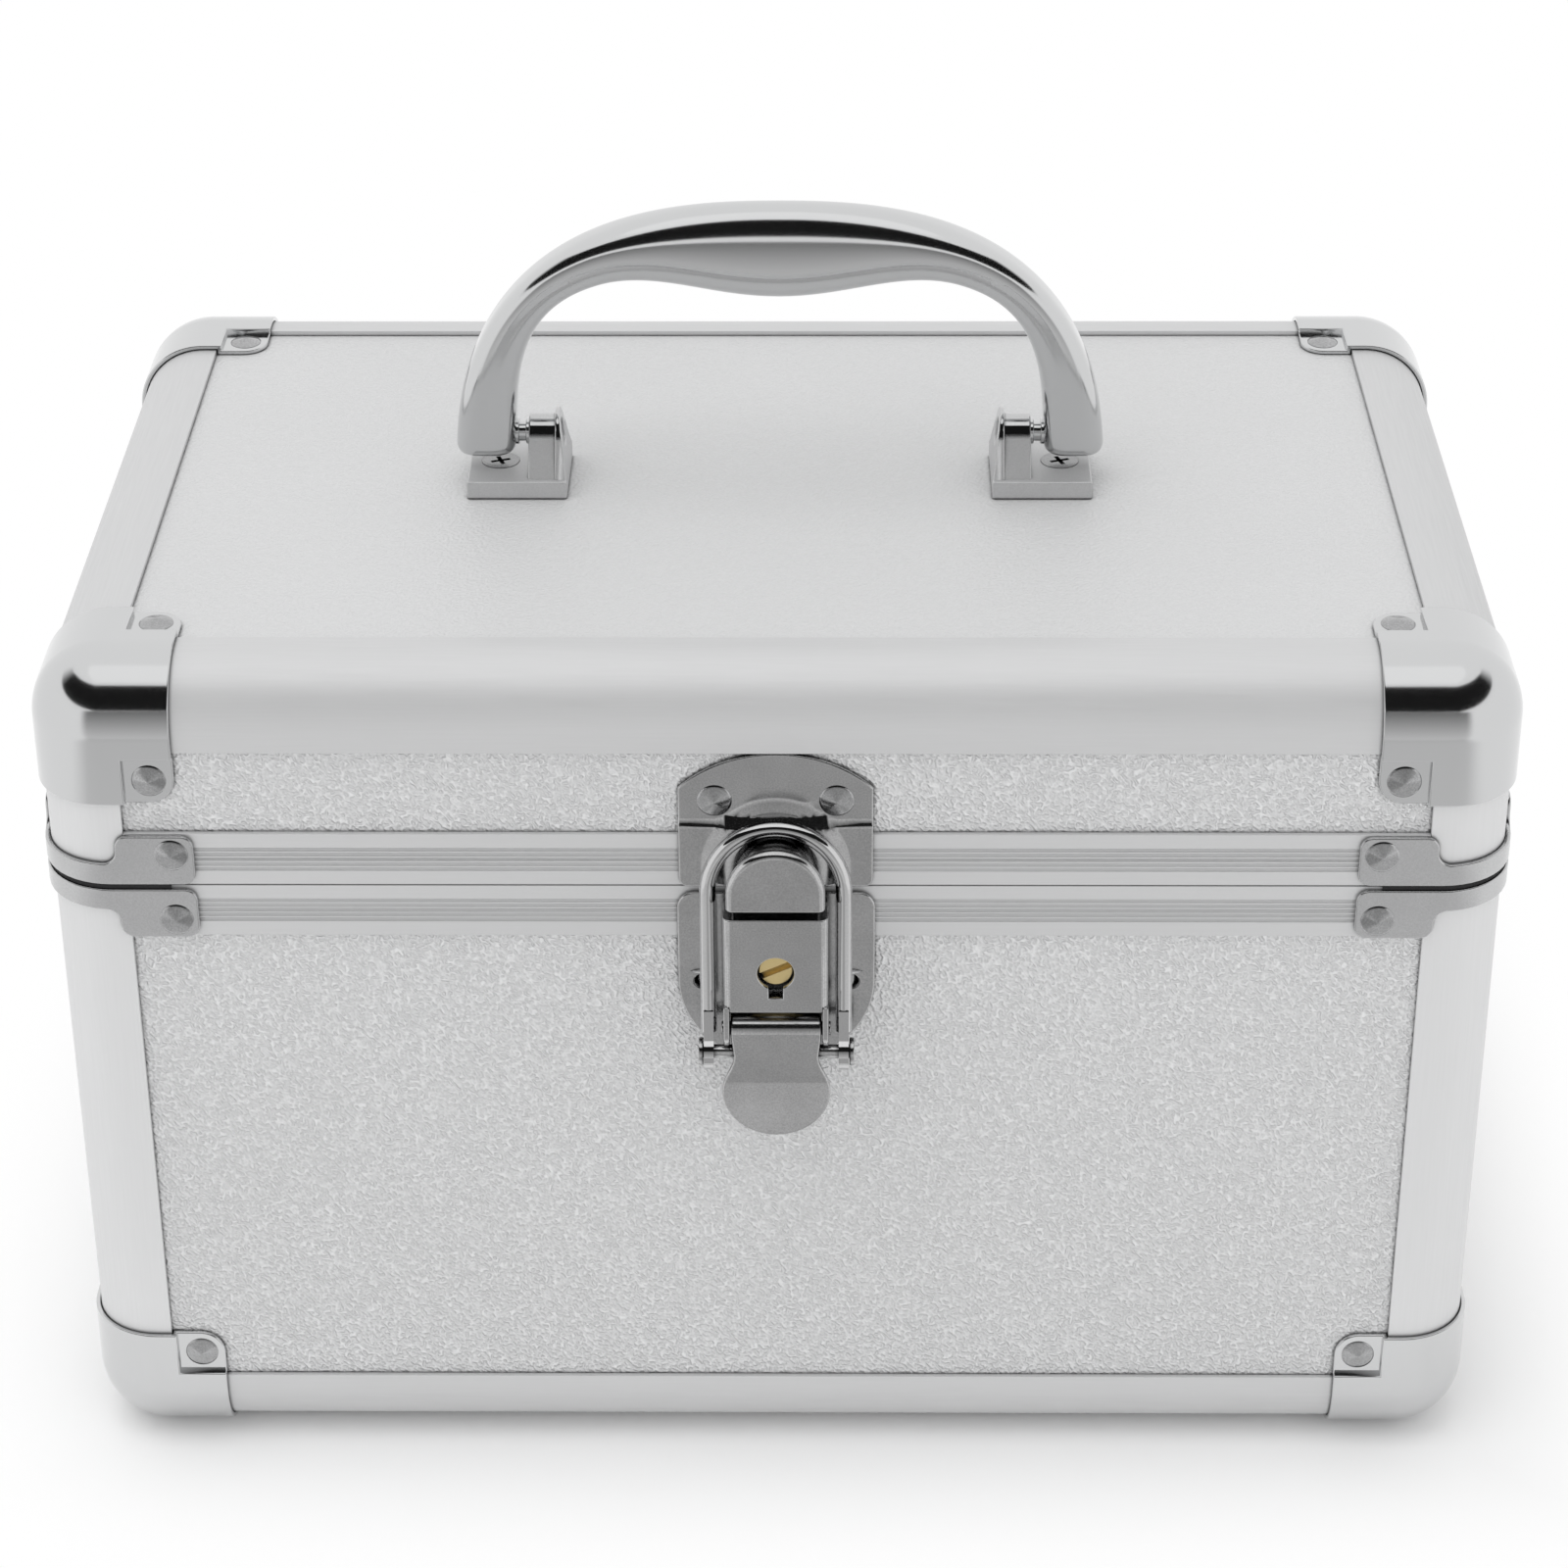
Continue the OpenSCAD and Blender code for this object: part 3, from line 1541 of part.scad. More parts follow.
upper_hinge_leaves();
handle();
handle_pins();
lever();
cross_pin();
bail();
lock_plug();
lock_cam();
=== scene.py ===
"""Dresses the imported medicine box: finishes, softened metal parts, floor, light and camera."""

import json
import logging
import math
from dataclasses import dataclass
from enum import Enum

import bmesh
import bpy
from mathutils import Matrix, Vector

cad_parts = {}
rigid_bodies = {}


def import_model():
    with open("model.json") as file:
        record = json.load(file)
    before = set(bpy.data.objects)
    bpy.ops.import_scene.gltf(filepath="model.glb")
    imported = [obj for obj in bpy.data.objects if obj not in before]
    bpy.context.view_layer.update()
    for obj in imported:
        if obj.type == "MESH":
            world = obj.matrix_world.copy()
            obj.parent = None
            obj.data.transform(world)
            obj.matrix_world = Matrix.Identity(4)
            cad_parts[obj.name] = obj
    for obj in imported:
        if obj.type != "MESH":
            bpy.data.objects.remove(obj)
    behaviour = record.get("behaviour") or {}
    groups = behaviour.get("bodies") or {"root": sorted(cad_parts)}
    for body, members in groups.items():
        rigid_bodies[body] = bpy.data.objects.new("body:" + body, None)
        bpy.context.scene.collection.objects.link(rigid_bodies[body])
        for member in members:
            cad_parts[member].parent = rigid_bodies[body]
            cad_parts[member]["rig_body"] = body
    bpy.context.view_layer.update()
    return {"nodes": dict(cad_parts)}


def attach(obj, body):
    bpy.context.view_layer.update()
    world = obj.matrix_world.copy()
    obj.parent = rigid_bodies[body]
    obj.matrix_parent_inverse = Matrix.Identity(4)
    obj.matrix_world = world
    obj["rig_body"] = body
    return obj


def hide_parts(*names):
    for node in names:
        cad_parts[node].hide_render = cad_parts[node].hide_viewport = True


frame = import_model()
LOG = logging.getLogger("medicine_box")
MM = 0.001
PLAIN = (1.0, 1.0, 1.0)


class Along(Enum):
    """The direction in which a profile was drawn, as the stretch of its grain."""

    X = (0.03, 1.0, 1.0)
    Y = (1.0, 0.03, 1.0)
    Z = (1.0, 1.0, 0.03)


class Shading:
    """Adds nodes to one material and links them to its principled shader."""

    # Span in which most of a noise lies
    MIDDLE = (0.3, 0.7)
    # Share of open space where the painted crease shade begins, and where it is full
    OPEN_TO_CLOSED = (0.8, 0.35)
    CREASE_RAYS = 6
    # Colour of the painted shade near other surfaces
    CREASE_SHADE_TONE = (0.02, 0.02, 0.021, 1.0)
    # Turn that lays the X axis along a cube's diagonal, which slants on every side of the case
    SLANT = (0.0, math.atan(math.sqrt(0.5)), math.radians(45.0))

    def __init__(self, name: str, crease: float = 0.0, reach: float = 0.0) -> None:
        """Starts an empty material.

        Args:
            name: Name of the material.
            crease: Share of painted shade in a crease.
            reach: Distance in metres to the surface that makes a crease.
        """
        self.material = bpy.data.materials.new(name)
        self.material.use_nodes = True
        self.tree = self.material.node_tree
        self.shader = self.tree.nodes["Principled BSDF"]
        self.crease, self.reach = crease, reach

    def add(self, kind: str, **values: object) -> bpy.types.Node:
        """Adds a node and sets its properties.

        Args:
            kind: Blender's name of the node type.
            **values: Properties of the node.

        Returns:
            The new node.
        """
        node = self.tree.nodes.new(kind)
        for key, value in values.items():
            setattr(node, key, value)
        return node

    def link(self, out: bpy.types.NodeSocket, into: bpy.types.NodeSocket) -> None:
        """Links two sockets."""
        self.tree.links.new(out, into)

    def put(self, value: object, into: bpy.types.NodeSocket) -> None:
        """Feeds a socket.

        Args:
            value: Another socket, or a plain value.
            into: Socket that is fed.
        """
        if isinstance(value, bpy.types.NodeSocket):
            self.link(value, into)
        else:
            into.default_value = value

    def axes(self) -> bpy.types.Node:
        """Object coordinates, split into X, Y and Z.

        Returns:
            The node that holds them.
        """
        source = self.add("ShaderNodeTexCoord")
        parts = self.add("ShaderNodeSeparateXYZ")
        self.link(source.outputs["Object"], parts.inputs[0])
        return parts

    def ramp(self, source: bpy.types.NodeSocket, span: tuple, result: tuple,
             kind: str = "LINEAR") -> bpy.types.NodeSocket:
        """Maps a value from one span to another and holds it inside.

        Args:
            source: Value to map.
            span: Values at the two ends.
            result: Results at the two ends, each a socket or a number.
            kind: How it runs from one end to the other.

        Returns:
            The socket that holds the result.
        """
        node = self.add("ShaderNodeMapRange", interpolation_type=kind)
        self.link(source, node.inputs["Value"])
        for key, value in zip(("From Min", "From Max", "To Min", "To Max"), (*span, *result)):
            self.put(value, node.inputs[key])
        return node.outputs["Result"]

    def place(self, stretch: tuple[float, float, float] = PLAIN,
              turn: tuple[float, float, float] = (0.0, 0.0, 0.0),
              kind: str = "POINT") -> bpy.types.NodeSocket:
        """Object coordinates, stretched along three axes.

        Args:
            stretch: Factor of each axis.
            turn: Turn of the three axes.
            kind: POINT makes grains shorter with a larger factor, TEXTURE makes them longer.

        Returns:
            The socket that holds the place.
        """
        source = self.add("ShaderNodeTexCoord")
        mapping = self.add("ShaderNodeMapping", vector_type=kind)
        mapping.inputs["Rotation"].default_value = turn
        mapping.inputs["Scale"].default_value = stretch
        self.link(source.outputs["Object"], mapping.inputs["Vector"])
        return mapping.outputs["Vector"]

    def noise(self, place: bpy.types.NodeSocket, scale: float,
              detail: float = 3.0) -> bpy.types.NodeSocket:
        """Soft noise from 0 to 1.

        Args:
            place: Coordinates that it reads.
            scale: Grains in a metre.
            detail: Number of finer layers.

        Returns:
            The socket that holds the noise.
        """
        node = self.add("ShaderNodeTexNoise")
        node.inputs["Scale"].default_value = scale
        node.inputs["Detail"].default_value = detail
        self.link(place, node.inputs["Vector"])
        return node.outputs["Fac"]

    def cells(self, place: bpy.types.NodeSocket, scale: float,
              smooth: float) -> bpy.types.NodeSocket:
        """Rounded cells, as a distance from the middle of each.

        Args:
            place: Coordinates that it reads.
            scale: Cells in a metre.
            smooth: How softly the cells meet.

        Returns:
            The socket that holds the distance.
        """
        node = self.add("ShaderNodeTexVoronoi", feature="SMOOTH_F1")
        node.inputs["Scale"].default_value = scale
        node.inputs["Smoothness"].default_value = smooth
        self.link(place, node.inputs["Vector"])
        return node.outputs["Distance"]

    def spread(self, source: bpy.types.NodeSocket, low: float, high: float) -> bpy.types.NodeSocket:
        """Maps the middle of a noise to a range, from low to high."""
        return self.ramp(source, self.MIDDLE, (low, high))

    def combine(self, how: str, first: object, second: object) -> bpy.types.NodeSocket:
        """Joins two values, each a socket or a number.

        Args:
            how: Name of the operation.
            first: First value.
            second: Second value.

        Returns:
            The socket that holds the result.
        """
        node = self.add("ShaderNodeMath", operation=how)
        for index, value in enumerate((first, second)):
            self.put(value, node.inputs[index])
        return node.outputs["Value"]

    def blend(self, first: bpy.types.NodeSocket, second: bpy.types.NodeSocket,
              share: float) -> bpy.types.NodeSocket:
        """Adds two values, the first one with a share and the second with the rest."""
        return self.combine("ADD", self.combine("MULTIPLY", first, share),
                            self.combine("MULTIPLY", second, 1.0 - share))

    def tint(self, factor: bpy.types.NodeSocket, first: tuple, second: tuple) -> None:
        """Colours the surface between two tones, with painted shade near other surfaces.

        Args:
            factor: Share of the second tone.
            first: Tone at 0.
            second: Tone at 1.
        """
        tinted = self.mixed(factor, (*first, 1.0), (*second, 1.0))
        # Painted shade: near another surface the colour is mixed towards a dark tone
        crease_shaded = self.mixed(self.crease_shade(), tinted, self.CREASE_SHADE_TONE)
        self.link(crease_shaded, self.shader.inputs["Base Color"])

    def mixed(self, factor: bpy.types.NodeSocket, first: object,
              second: object) -> bpy.types.NodeSocket:
        """Mixes two colours, each a socket or a value.

        Args:
            factor: Share of the second colour.
            first: First colour.
            second: Second colour.

        Returns:
            The socket that holds the colour.
        """
        node = self.add("ShaderNodeMix", data_type="RGBA")
        self.link(factor, node.inputs[0])
        for socket, value in zip((i for i in node.inputs if i.type == "RGBA"), (first, second)):
            self.put(value, socket)
        return next(o for o in node.outputs if o.type == "RGBA")

    def crease_shade(self) -> bpy.types.NodeSocket:
        """Share of painted shade, which rises where another surface stands close by.

        Returns:
            The socket that holds the share.
        """
        node = self.add("ShaderNodeAmbientOcclusion", samples=self.CREASE_RAYS)
        node.inputs["Distance"].default_value = self.reach
        return self.ramp(node.outputs["AO"], self.OPEN_TO_CLOSED, (0.0, self.crease))

    def bump(self, height: bpy.types.NodeSocket, strength: float, depth: float) -> None:
        """Raises the surface by a height.

        Args:
            height: Height from 0 to 1.
            strength: Share of the bump that is seen.
            depth: Depth in metres of a height of 1.
        """
        node = self.add("ShaderNodeBump")
        node.inputs["Strength"].default_value = strength
        node.inputs["Distance"].default_value = depth
        self.link(height, node.inputs["Height"])
        self.link(node.outputs["Normal"], self.shader.inputs["Normal"])


@dataclass(frozen=True)
class Finish:
    """A surface finish, and the record's slot that it belongs to.

    A crease is where another surface is nearer than reach, and crease is its share of painted
    shade. The low spots have the tone times shade, and duller holds the two ends of the roughness.
    """

    name: str
    slot: str
    tone: tuple[float, float, float]
    metallic: float
    roughness: float
    crease: float = 0.9
    reach: float = 0.8 * MM
    shade: float = 0.93
    duller: tuple[float, float] = (-0.05, 0.08)

    def shaded(self) -> tuple[float, float, float]:
        """The tone a little darker: painted shade in laminate valleys, darker lines in a profile.
        """
        return tuple(channel * self.shade for channel in self.tone)

    def dull(self, shading: Shading, where: bpy.types.NodeSocket) -> None:
        """Varies the roughness by the finish's own two steps.

        Args:
            shading: Material that is being made.
            where: Noise that it follows.
        """
        low, high = self.duller
        roughness = shading.spread(where, self.roughness + low, self.roughness + high)
        shading.link(roughness, shading.shader.inputs["Roughness"])

    def material(self) -> bpy.types.Material:
        """Makes the material, or finds the one that was made before.

        Returns:
            The material.
        """
        found = bpy.data.materials.get(self.name)
        if found is not None:
            return found
        shading = Shading(self.name, self.crease, self.reach)
        shading.shader.inputs["Metallic"].default_value = self.metallic
        shading.shader.inputs["Roughness"].default_value = self.roughness
        self.grain(shading)
        return shading.material

    def grain(self, shading: Shading) -> None:
        """Adds the finish's own detail to the material that is being made."""
        raise NotImplementedError


@dataclass(frozen=True)
class PebbledLaminate(Finish):
    """Silver laminate with a fine pebble of short slanting grains pressed into it."""

    pebble: float = 0.52 * MM
    depth: float = 0.32 * MM
    slant: float = 1.8
    strength: float = 1.0
    contrast: float = 1.0
    clouds: float = 14.0
    cloud_detail: float = 4.0
    cloudy: float = 0.4
    duller: tuple[float, float] = (-0.05, 0.06)

    def grain(self, shading: Shading) -> None:
        """Grains with pale tops and painted shade in the valleys between them.

        Args:
            shading: Material that is being made.
        """
        place = shading.place((self.slant, 1.0, 1.0), shading.SLANT, "TEXTURE")
        grains = shading.spread(shading.noise(place, 1 / self.pebble, 0.0), 0.0, 1.0)
        cloud = shading.noise(shading.place(), self.clouds, self.cloud_detail)
        # Painted shade: the lower a grain, the nearer its colour comes to the darker tone
        valley_shade = shading.combine("MULTIPLY", grains, -self.contrast)
        patches = shading.combine("MULTIPLY", cloud, self.cloudy)
        tone = shading.combine("ADD", valley_shade,
                               shading.combine("ADD", patches, 0.5 + self.contrast / 2))
        shading.tint(tone, self.tone, self.shaded())
        self.dull(shading, cloud)
        shading.bump(grains, self.strength, self.depth)


@dataclass(frozen=True)
class DrawnProfile(Finish):
    """Satin anodised aluminium, with drawing lines along its length."""

    along: Along = Along.X
    drawn: float = 2600.0
    drawn_detail: float = 5.0
    clouds: float = 22.0
    lined: float = 0.6
    strength: float = 0.12
    depth: float = 0.03 * MM

    def grain(self, shading: Shading) -> None:
        """Fine drawing lines and a faint cloudiness.

        Args:
            shading: Material that is being made.
        """
        lines = shading.noise(shading.place(self.along.value), self.drawn, self.drawn_detail)
        cloud = shading.noise(shading.place(), self.clouds)
        shading.tint(shading.blend(lines, cloud, self.lined), self.tone, self.shaded())
        self.dull(shading, lines)
        shading.bump(lines, self.strength, self.depth)


@dataclass(frozen=True)
class BrightPlate(Finish):
    """Plated metal: mirror bright, with faint waves, specks and wiping marks."""

    speck: float = 0.1
    wave: float = 0.2
    specks: float = 3400.0
    speck_detail: float = 4.0
    clouds: float = 120.0
    cloud_detail: float = 5.0
    speckled: float = 0.6
    waves: float = 160.0
    wave_detail: float = 2.0
    depth: float = 0.1 * MM
    duller: tuple[float, float] = (0.6, 1.5)

    def dull(self, shading: Shading, where: bpy.types.NodeSocket) -> None:
        """Varies the roughness by two factors, because a plate has little of it.

        Args:
            shading: Material that is being made.
            where: Noise that it follows.
        """
        low, high = self.duller
        roughness = shading.spread(where, self.roughness * low, self.roughness * high)
        shading.link(roughness, shading.shader.inputs["Roughness"])

    def grain(self, shading: Shading) -> None:
        """Waves of the pressed sheet under the plate, and specks in it.

        Args:
            shading: Material that is being made.
        """
        place = shading.place()
        specks = shading.noise(place, self.specks, self.speck_detail)
        cloud = shading.noise(place, self.clouds, self.cloud_detail)
        both = shading.blend(specks, cloud, self.speckled)
        dark = tuple(channel * (1.0 - self.speck) for channel in self.tone)
        shading.tint(shading.spread(both, 0.0, 1.0), self.tone, dark)
        self.dull(shading, both)
        waves = shading.noise(place, self.waves, self.wave_detail)
        shading.bump(waves, self.wave, self.depth)


@dataclass(frozen=True)
class HalfPolished(BrightPlate):
    """Cast and plated metal, dull on its foot and polished on its head."""

    polished_from: float = 168.8 * MM
    foot_roughness: float = 0.4
    foot_metal: float = 0.6
    run: float = 0.4 * MM

    def grain(self, shading: Shading) -> None:
        """The plate's own detail, duller and paler below one height.

        Args:
            shading: Material that is being made.
        """
        super().grain(shading)
        height = shading.axes().outputs["Z"]
        span = (self.polished_from - self.run, self.polished_from + self.run)
        for socket, below, above in (("Roughness", self.foot_roughness, self.roughness),
                                     ("Metallic", self.foot_metal, self.metallic)):
            shading.link(shading.ramp(height, span, (below, above)), shading.shader.inputs[socket])


@dataclass(frozen=True)
class FoamSheet(Finish):
    """Dark dense foam with small open pores."""

    pores: float = 1500.0
    smooth: float = 0.2
    clouds: float = 90.0
    cloud_detail: float = 5.0
    paler: float = 1.7
    strength: float = 0.7
    depth: float = 0.2 * MM

    def grain(self, shading: Shading) -> None:
        """Pores of two sizes.

        Args:
            shading: Material that is being made.
        """
        place = shading.place()
        pores = shading.cells(place, self.pores, self.smooth)
        cloud = shading.noise(place, self.clouds, self.cloud_detail)
        pale = tuple(channel * self.paler for channel in self.tone)
        shading.tint(shading.combine("MULTIPLY", pores, cloud), self.tone, pale)
        shading.bump(pores, self.strength, self.depth)


LAMINATE = {"slot": "panel_board"}
SATIN = {"slot": "satin_profile", "tone": (0.61, 0.612, 0.616), "metallic": 0.3, "roughness": 0.42}
# Painted light: the posts get a paler copy of the same satin profile, for the brighter light they
# catch
LIT_SATIN = {**SATIN, "tone": (0.71, 0.712, 0.716)}
STEEL = {"slot": "chromed_steel", "metallic": 1.0}
CASTING = {"slot": "cast_chrome", "metallic": 1.0}
SOFT = {"slot": "liner_foam", "metallic": 0.0}
PANEL = PebbledLaminate("pebbled_laminate", **LAMINATE, tone=(0.77, 0.772, 0.777), metallic=0.15,
                        roughness=0.42, shade=0.82)
# Painted shade: the lid's top gets a darker copy of the laminate, against the stronger light from
# above
SHADED_TOP_PANEL = PebbledLaminate("pebbled_laminate_top", **LAMINATE, tone=(0.65, 0.652, 0.656),
                            metallic=0.12, roughness=0.5, strength=0.3, contrast=0.25)
RAIL_X = DrawnProfile("satin_profile_across", **SATIN, along=Along.X)
RAIL_Y = DrawnProfile("satin_profile_deep", **SATIN, along=Along.Y)
RAIL_Z = DrawnProfile("satin_profile_upright", **LIT_SATIN, along=Along.Z)
# The crease of a finish is its share of painted shade near other surfaces, within its reach
FRAME_X = DrawnProfile("grooved_profile_across", **SATIN, along=Along.X, crease=0.3)
FRAME_Y = DrawnProfile("grooved_profile_deep", **SATIN, along=Along.Y, crease=0.3)
CHROME = BrightPlate("chromed_steel", **STEEL, tone=(0.62, 0.622, 0.626), roughness=0.07)
STRAP_CHROME = BrightPlate("satin_strap_steel", **STEEL, tone=(0.57, 0.572, 0.576),
                           roughness=0.2, speck=0.14)
RIVET_CHROME = BrightPlate("turned_rivet_chrome", **STEEL, tone=(0.5, 0.502, 0.506),
                           roughness=0.14, speck=0.4, wave=0.1)
LATCH_CHROME = BrightPlate("chromed_latch_steel", **STEEL, tone=(0.6, 0.6, 0.602), roughness=0.14,
                           crease=1.2, reach=1.3 * MM, speck=0.3, wave=0.35)
WIRE_CHROME = BrightPlate("bright_wire", **STEEL, tone=(0.64, 0.64, 0.642), roughness=0.06,
                          wave=0.1)
SCREW_CHROME = BrightPlate("screw_steel", **STEEL, tone=(0.36, 0.361, 0.364), roughness=0.16,
                           speck=0.3)
CAST_CHROME = BrightPlate("cast_chrome", **CASTING, tone=(0.62, 0.622, 0.628), roughness=0.04,
                          speck=0.06, wave=0.05)
BRACKET_CHROME = HalfPolished("cast_bracket_chrome", **CASTING, tone=(0.6, 0.602, 0.606),
                              roughness=0.06, speck=0.15)
# A large crease share gives deep painted shade in the lock's key slot
BRASS = BrightPlate("lock_brass", slot="lock_brass", tone=(0.83, 0.66, 0.33), metallic=1.0,
                    roughness=0.14, crease=6.0, reach=2.0 * MM, speck=0.3)
# Near-black foam of the strip that stands in for the shade in the lid's gap
GAP_SHADE = FoamSheet("painted_gap_shade", **SOFT, tone=(0.012, 0.012, 0.013), roughness=0.8)
FOAM = FoamSheet("liner_foam", **SOFT, tone=(0.035, 0.036, 0.04), roughness=0.95)


def body_of(node: str) -> str:
    """Name of the CAD body that carries a node."""
    return frame["nodes"][node]["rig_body"]


def dress(node: str, finish: Finish) -> None:
    """Gives a CAD node its finish.

    Args:
        node: Name of the node.
        finish: Finish that it gets.
    """
    mesh = frame["nodes"][node].data
    mesh.materials.clear()
    mesh.materials.append(finish.material())
    LOG.info("node %s: %s", node, finish.name)


def finish_piece(bm: bmesh.types.BMesh, name: str, finish: Finish, body: str,
                 nodes: tuple[str, ...], sharp: float = 38.0) -> bpy.types.Object:
    """Turns a mesh into a piece that rides on a body and stands for CAD nodes.

    Args:
        bm: Mesh in the model's frame, in metres; it is freed.
        name: Name of the piece.
        finish: Finish of the piece.
        body: CAD body that it rides on.
        nodes: CAD nodes that it stands for.
        sharp: Angle in degrees from which an edge stays sharp.

    Returns:
        The new object.
    """
    mesh = bpy.data.meshes.new(name)
    bm.to_mesh(mesh)
    bm.free()
    mesh.shade_smooth()
    mesh.set_sharp_from_angle(angle=math.radians(sharp))
    piece = bpy.data.objects.new(name, mesh)
    bpy.context.scene.collection.objects.link(piece)
    mesh.materials.append(finish.material())
    weighted = piece.modifiers.new("even_normals", "WEIGHTED_NORMAL")
    weighted.keep_sharp = True
    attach(piece, body)
    if nodes:
        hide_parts(*nodes)
    LOG.info("piece %s: %d faces, rides on %s", name, len(mesh.polygons), body)
    return piece


@dataclass
class SoftenedPart:
    """A CAD node with its outer edges softened, as a pressed or cast part has them."""

    node: str
    finish: Finish
    edge: float = 0.25 * MM
    segments: int = 3
    edge_angle: float = 32.0
    flat_angle: float = 1.0
    same_point: float = 0.002 * MM

    def softened(self) -> bmesh.types.BMesh:
        """Merges a copy of the node's triangles and rounds its outer edges.

        Returns:
            The new mesh.
        """
        bm = bmesh.new()
        bm.from_mesh(frame["nodes"][self.node].data)
        bmesh.ops.remove_doubles(bm, verts=bm.verts, dist=self.same_point)
        bmesh.ops.dissolve_limit(bm, angle_limit=math.radians(self.flat_angle), verts=bm.verts,
                                 edges=bm.edges)
        limit = math.radians(self.edge_angle)
        edges = [edge for edge in bm.edges if len(edge.link_faces) == 2 and edge.is_convex
                 and edge.calc_face_angle(0.0) > limit]
        bmesh.ops.bevel(bm, geom=edges, offset=self.edge, offset_type="OFFSET",
                        segments=self.segments, profile=0.5, affect="EDGES", clamp_overlap=False,
                        material=-1)
        return bm

    def build(self) -> bpy.types.Object:
        """Makes the piece in the node's place."""
        return finish_piece(self.softened(), self.node + "_softened", self.finish,
                            body_of(self.node), (self.node,))


@dataclass
class Shell:
    """The panels, profiles and liners."""

    sides: tuple[str, ...] = ("front", "rear", "left", "right")
    edge: float = 0.12 * MM
    segments: int = 2

    def build(self) -> None:
        """Dresses every board and softens the edges of every profile."""
        for node in ("bottom_panel", "front_panel", "rear_panel", "left_panel", "right_panel",
                     "lid_front_panel", "lid_rear_panel", "lid_left_panel", "lid_right_panel"):
            dress(node, PANEL)
        dress("lid_top_panel", SHADED_TOP_PANEL)
        for side in self.sides:
            rail, grooved = (RAIL_X, FRAME_X) if side in ("front", "rear") else (RAIL_Y, FRAME_Y)
            for stem, finish in (("bottom_rail_", rail), ("top_rail_", rail),
                                 ("body_frame_", grooved), ("lid_frame_", grooved)):
                SoftenedPart(stem + side, finish, self.edge, self.segments).build()
        for node in ("body_posts", "lid_posts"):
            SoftenedPart(node, RAIL_Z, self.edge, self.segments).build()
        for node in ("body_liner", "lid_liner"):
            dress(node, FOAM)


@dataclass
class PartingGapShade:
    """Dark strip put as painted shade in the gap between lid and body, thicker between the straps.
    """

    half_width: float = 125 * MM
    half_depth: float = 80 * MM
    part_z: float = 120 * MM
    corner_radius: float = 12 * MM
    strap_end: float = 22 * MM
    bar_in: float = 0.35 * MM
    bar_deep: float = 0.6 * MM
    bar_high: float = 0.18 * MM
    bead_out: float = 0.55 * MM
    bead_high: float = 0.84 * MM
    clear: float = 0.02 * MM
    steps: int = 16

    def bar(self, bm: bmesh.types.BMesh, low: tuple[float, float], high: tuple[float, float],
            tall: float) -> None:
        """Adds a bar between two corners of its plan.

        Args:
            bm: Mesh that it is added to.
            low: Lower corner of the plan.
            high: Upper corner of the plan.
            tall: Height of the bar about the parting line.
        """
        middle = Vector(((low[0] + high[0]) / 2, (low[1] + high[1]) / 2, self.part_z))
        size = Matrix.Diagonal((high[0] - low[0], high[1] - low[1], tall, 1.0))
        bmesh.ops.create_cube(bm, size=1.0, matrix=Matrix.Translation(middle) @ size)

    def bead(self, bm: bmesh.types.BMesh) -> None:
        """Adds the bead round the front left corner.

        Args:
            bm: Mesh that it is added to.
        """
        turn_x, turn_y = self.corner_radius - self.half_width, self.corner_radius - self.half_depth
        inner, outer = self.corner_radius + self.clear, self.corner_radius + self.bead_out
        made = bmesh.ops.create_grid(bm, x_segments=1, y_segments=1, size=0.5)
        for vert in made["verts"]:
            vert.co = Vector((turn_x - (inner if vert.co.x < 0 else outer), turn_y,
                              self.part_z + self.bead_high * vert.co.y))
        faces = list({face for vert in made["verts"] for face in vert.link_faces})
        bmesh.ops.spin(bm, geom=faces, cent=(turn_x, turn_y, self.part_z), axis=(0.0, 0.0, 1.0),
                       angle=math.radians(90.0), steps=self.steps, use_merge=False,
                       use_duplicate=False)
        bmesh.ops.holes_fill(bm, edges=[edge for edge in bm.edges if edge.is_boundary])
        run = self.strap_end - self.corner_radius
        self.bar(bm, (-self.half_width - self.bead_out, turn_y),
                 (-self.half_width - self.clear, turn_y + run), self.bead_high)
        self.bar(bm, (turn_x, -self.half_depth - self.bead_out),
                 (turn_x + run, -self.half_depth - self.clear), self.bead_high)

    def build(self) -> None:
        """Makes the dark strip of painted shade on the body's rim."""
        bm = bmesh.new()
        self.bead(bm)
        for mirror in ((-1.0, 1.0, 1.0), (1.0, -1.0, 1.0)):
            made = bmesh.ops.duplicate(bm, geom=bm.verts[:] + bm.edges[:] + bm.faces[:])
            verts = [g for g in made["geom"] if isinstance(g, bmesh.types.BMVert)]
            bmesh.ops.transform(bm, matrix=Matrix.Diagonal(mirror).to_4x4(), verts=verts)
        run_x, run_y = self.half_width - self.corner_radius, self.half_depth - self.corner_radius
        out_x, out_y = self.half_width - self.bar_in, self.half_depth - self.bar_in
        in_x, in_y = out_x - self.bar_deep, out_y - self.bar_deep
        for low, high in (((-run_x, -out_y), (run_x, -in_y)), ((-out_x, -run_y), (-in_x, run_y)),
                          ((-run_x, in_y), (run_x, out_y)), ((in_x, -run_y), (out_x, run_y))):
            self.bar(bm, low, high, self.bar_high)
        bmesh.ops.recalc_face_normals(bm, faces=bm.faces)
        finish_piece(bm, "parting_gap_shade", GAP_SHADE, body_of("body_posts"), ())


